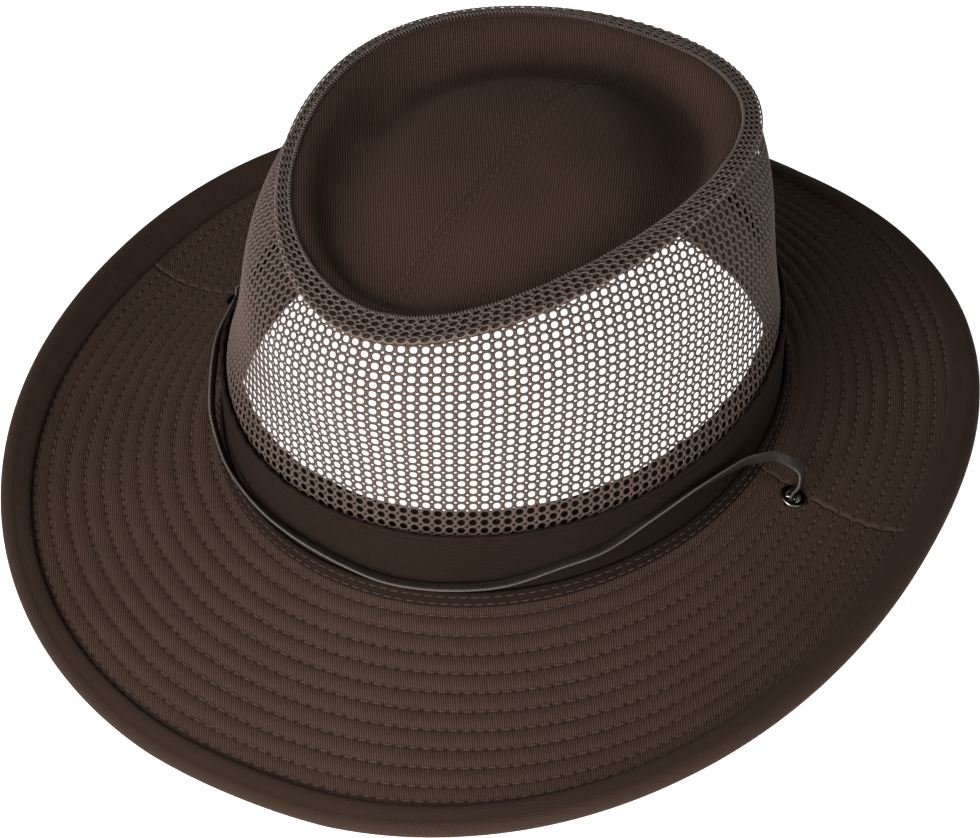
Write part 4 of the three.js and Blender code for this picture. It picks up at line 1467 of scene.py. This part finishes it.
# %% Turn the eyelets
def make_eyelet(name, angle):
    centre, x, y, z = eyelet_axes(angle)
    roll = np.radians(np.arange(-90, 200, 24))
    rolled = np.stack([3.55 + 0.95 * np.cos(roll[::-1]), 1.75 + 0.62 * np.sin(roll[::-1])], -1)
    upper = [(2.55, 0.0), (2.56, 1.2), *rolled.tolist(), (3.3, 1.25), (3.2, 0.8)]
    lower = [(radius, -height) for radius, height in reversed(upper)]
    profile = np.array([*upper, *lower[:-1]])
    turns = circle(40)
    spoke = np.cos(turns)[:, None] * x + np.sin(turns)[:, None] * y
    points = centre + spoke[:, None] * profile[:, :1] + z * profile[:, 1:]
    stations, count = points.shape[:2]
    faces, corners = grid_faces(stations, count)
    # How far a point lies out on the rolled edge. The metal paints this as a highlight, and the tube
    # inside stays dark as painted shade.
    shine = np.clip(profile[:, 0] - 3.4, 0, 1)
    uv = corner_map(corners, lambda row, column: (row / stations, shine[column % count]))
    return make_object(name, points.reshape(-1, 3), faces, uv, metal)


for side, angle in EYELET_ANGLES.items():
    eyelet = make_eyelet("brass_eyelet_" + side, angle)
    hand_over(eyelet, "eyelet_metal", "eyelet_" + side)

# %% [markdown]
# ## Stitches
#
# Each stitch is a short arc of thread whose ends dive into the cloth. Rows of points are drawn on
# the hat with an upward direction at each point. A Geometry Nodes tree turns the rows into curves,
# cuts them to the stitch length and sets one stitch at each cut.

# %% Make one stitch
def make_stitch(length, radius, rise):
    """A thread arc with four sides and pointed ends, along X, with Z up."""
    stations = np.array([-0.5, -0.3, 0, 0.3, 0.5])
    heights = np.array([-0.9, 0.55, 1.0, 0.55, -0.9]) * rise
    points, faces = [(stations[0] * length, 0, heights[0])], []
    for share, height in zip(stations[1:-1], heights[1:-1]):
        for k in range(4):
            turn = k * math.pi / 2
            points.append((share * length, radius * math.sin(turn), height + radius * math.cos(turn)))
    points.append((stations[-1] * length, 0, heights[-1]))
    shares = [0, *[0.2] * 4, *[0.5] * 4, *[0.8] * 4, 1]
    for k in range(4):
        n = (k + 1) % 4
        faces.append((0, 1 + n, 1 + k))
        for ring in (1, 5):
            faces.append((ring + k, ring + n, ring + 4 + n))
            faces.append((ring + k, ring + 4 + n, ring + 4 + k))
        faces.append((9 + k, 9 + n, 13))
    uv = np.array([[(shares[v], 0) for v in face] for face in faces])
    return make_object("stitch", points, faces, uv)

# %% [markdown]
# The function that sews stores its rows as a mesh of edges, runs the tree on it and hands the
# stitches over.

# %% Build the stitch tree and sew with it
def build_stitch_tree():
    tree, given = new_tree("Rows of stitches", {
        "Geometry": ["Geometry"], "Object": ["Stitch"], "Float": ["Pitch"], "Material": ["Material"]})
    curve = add_node(tree, "GeometryNodeMeshToCurve", {}, {"Mesh": given["Geometry"]})
    cut = add_node(tree, "GeometryNodeResampleCurve", {"mode": "LENGTH"},
                   {"Curve": curve, "Length": given["Pitch"]})
    upward = named(tree, "upward")
    tangent = add_node(tree, "GeometryNodeInputTangent")
    rotation = add_node(tree, "FunctionNodeAxesToRotation", {"primary_axis": "Z", "secondary_axis": "X"},
                        {"Primary Axis": upward, "Secondary Axis": tangent})
    shape = add_node(tree, "GeometryNodeObjectInfo", {}, {"Object": given["Stitch"]}, "Geometry")
    set_down = add_node(tree, "GeometryNodeInstanceOnPoints", {}, {
        "Points": cut, "Instance": shape, "Rotation": rotation})
    real = add_node(tree, "GeometryNodeRealizeInstances", {}, {"Geometry": set_down})
    coloured = add_node(tree, "GeometryNodeSetMaterial", {},
                        {"Geometry": real, "Material": given["Material"]})
    end_tree(tree, coloured)
    return tree


stitch_tree = build_stitch_tree()


def sew(name, rows, pitch, length, radius, rise):
    """Sew rows of stitches. Each row has points, upward directions, and whether it is closed."""
    points, upwards, edges = [], [], []
    for line, upward, closed in rows:
        first = sum(len(part) for part in points)
        points.append(line)
        upwards.append(upward)
        numbers = first + np.arange(len(line))
        edges += list(zip(numbers[:-1].tolist(), numbers[1:].tolist()))
        if closed:
            edges.append((int(numbers[-1]), int(numbers[0])))
    mesh = bpy.data.meshes.new(name)
    mesh.from_pydata((np.concatenate(points) * MM).tolist(), edges, [])
    store(mesh, "upward", np.concatenate(upwards))
    stitch = make_stitch(length, radius, rise)
    piece = run_tree(name, stitch_tree, {"Stitch": stitch, "Pitch": pitch * MM, "Material": thread}, mesh)
    piece.data.polygons.foreach_set("use_smooth", [True] * len(piece.data.polygons))
    bpy.data.objects.remove(stitch)
    hand_over(piece, "cotton_twill")


# %% [markdown]
# The brim's rows have stitches of 4 mm. The foot strip and the tip's seam have slightly finer
# ones. The quilting goes through the brim, so its rows show below as well.

# %% Sew the rows
def brim_row(reach, above):
    angles = full_turn(400)
    row = 0 * angles + reach
    side = 1 if above else -1
    lift = side * (HALF_THICKNESS + quilting(angles, row)) + undulation(angles, row)
    return brim_point(angles, row, lift), side * brim_directions(angles, row)[1], True


def ring_row(height, outward, tilt=0.0):
    angles = full_turn(400)
    line = foot_point(angles, outward, height)
    away = unit(foot_point(angles, outward + 1, height) - line)
    return line, unit(away + np.array([0, 0, tilt])), True


def seam_row(side):
    """A row beside the tip's middle seam, from the front to the back."""
    y = np.linspace(-0.93, 0.93, 200)
    x = side * 2.1 / TIP_HALF_WIDTH
    angle, reach = np.arctan2(y, x), np.hypot(x, y)
    line = tip_point(angle, reach, 0.0)
    along = np.gradient(line, axis=0)
    return line, unit(np.cross(np.array([1.0, 0, 0]), along)), False


brim_rows = [brim_row(reach, above) for reach in STITCH_ROWS for above in (True, False)]
sew("brim_stitches", brim_rows, pitch=STITCH_PITCH, length=3.2, radius=0.17, rise=0.22)
fine_rows = [ring_row(2.3, 2.75, 0.5), ring_row(4.5, 1.85, 0.2), seam_row(1), seam_row(-1)]
sew("crown_stitches", fine_rows, pitch=3.6, length=2.9, radius=0.15, rise=0.2)
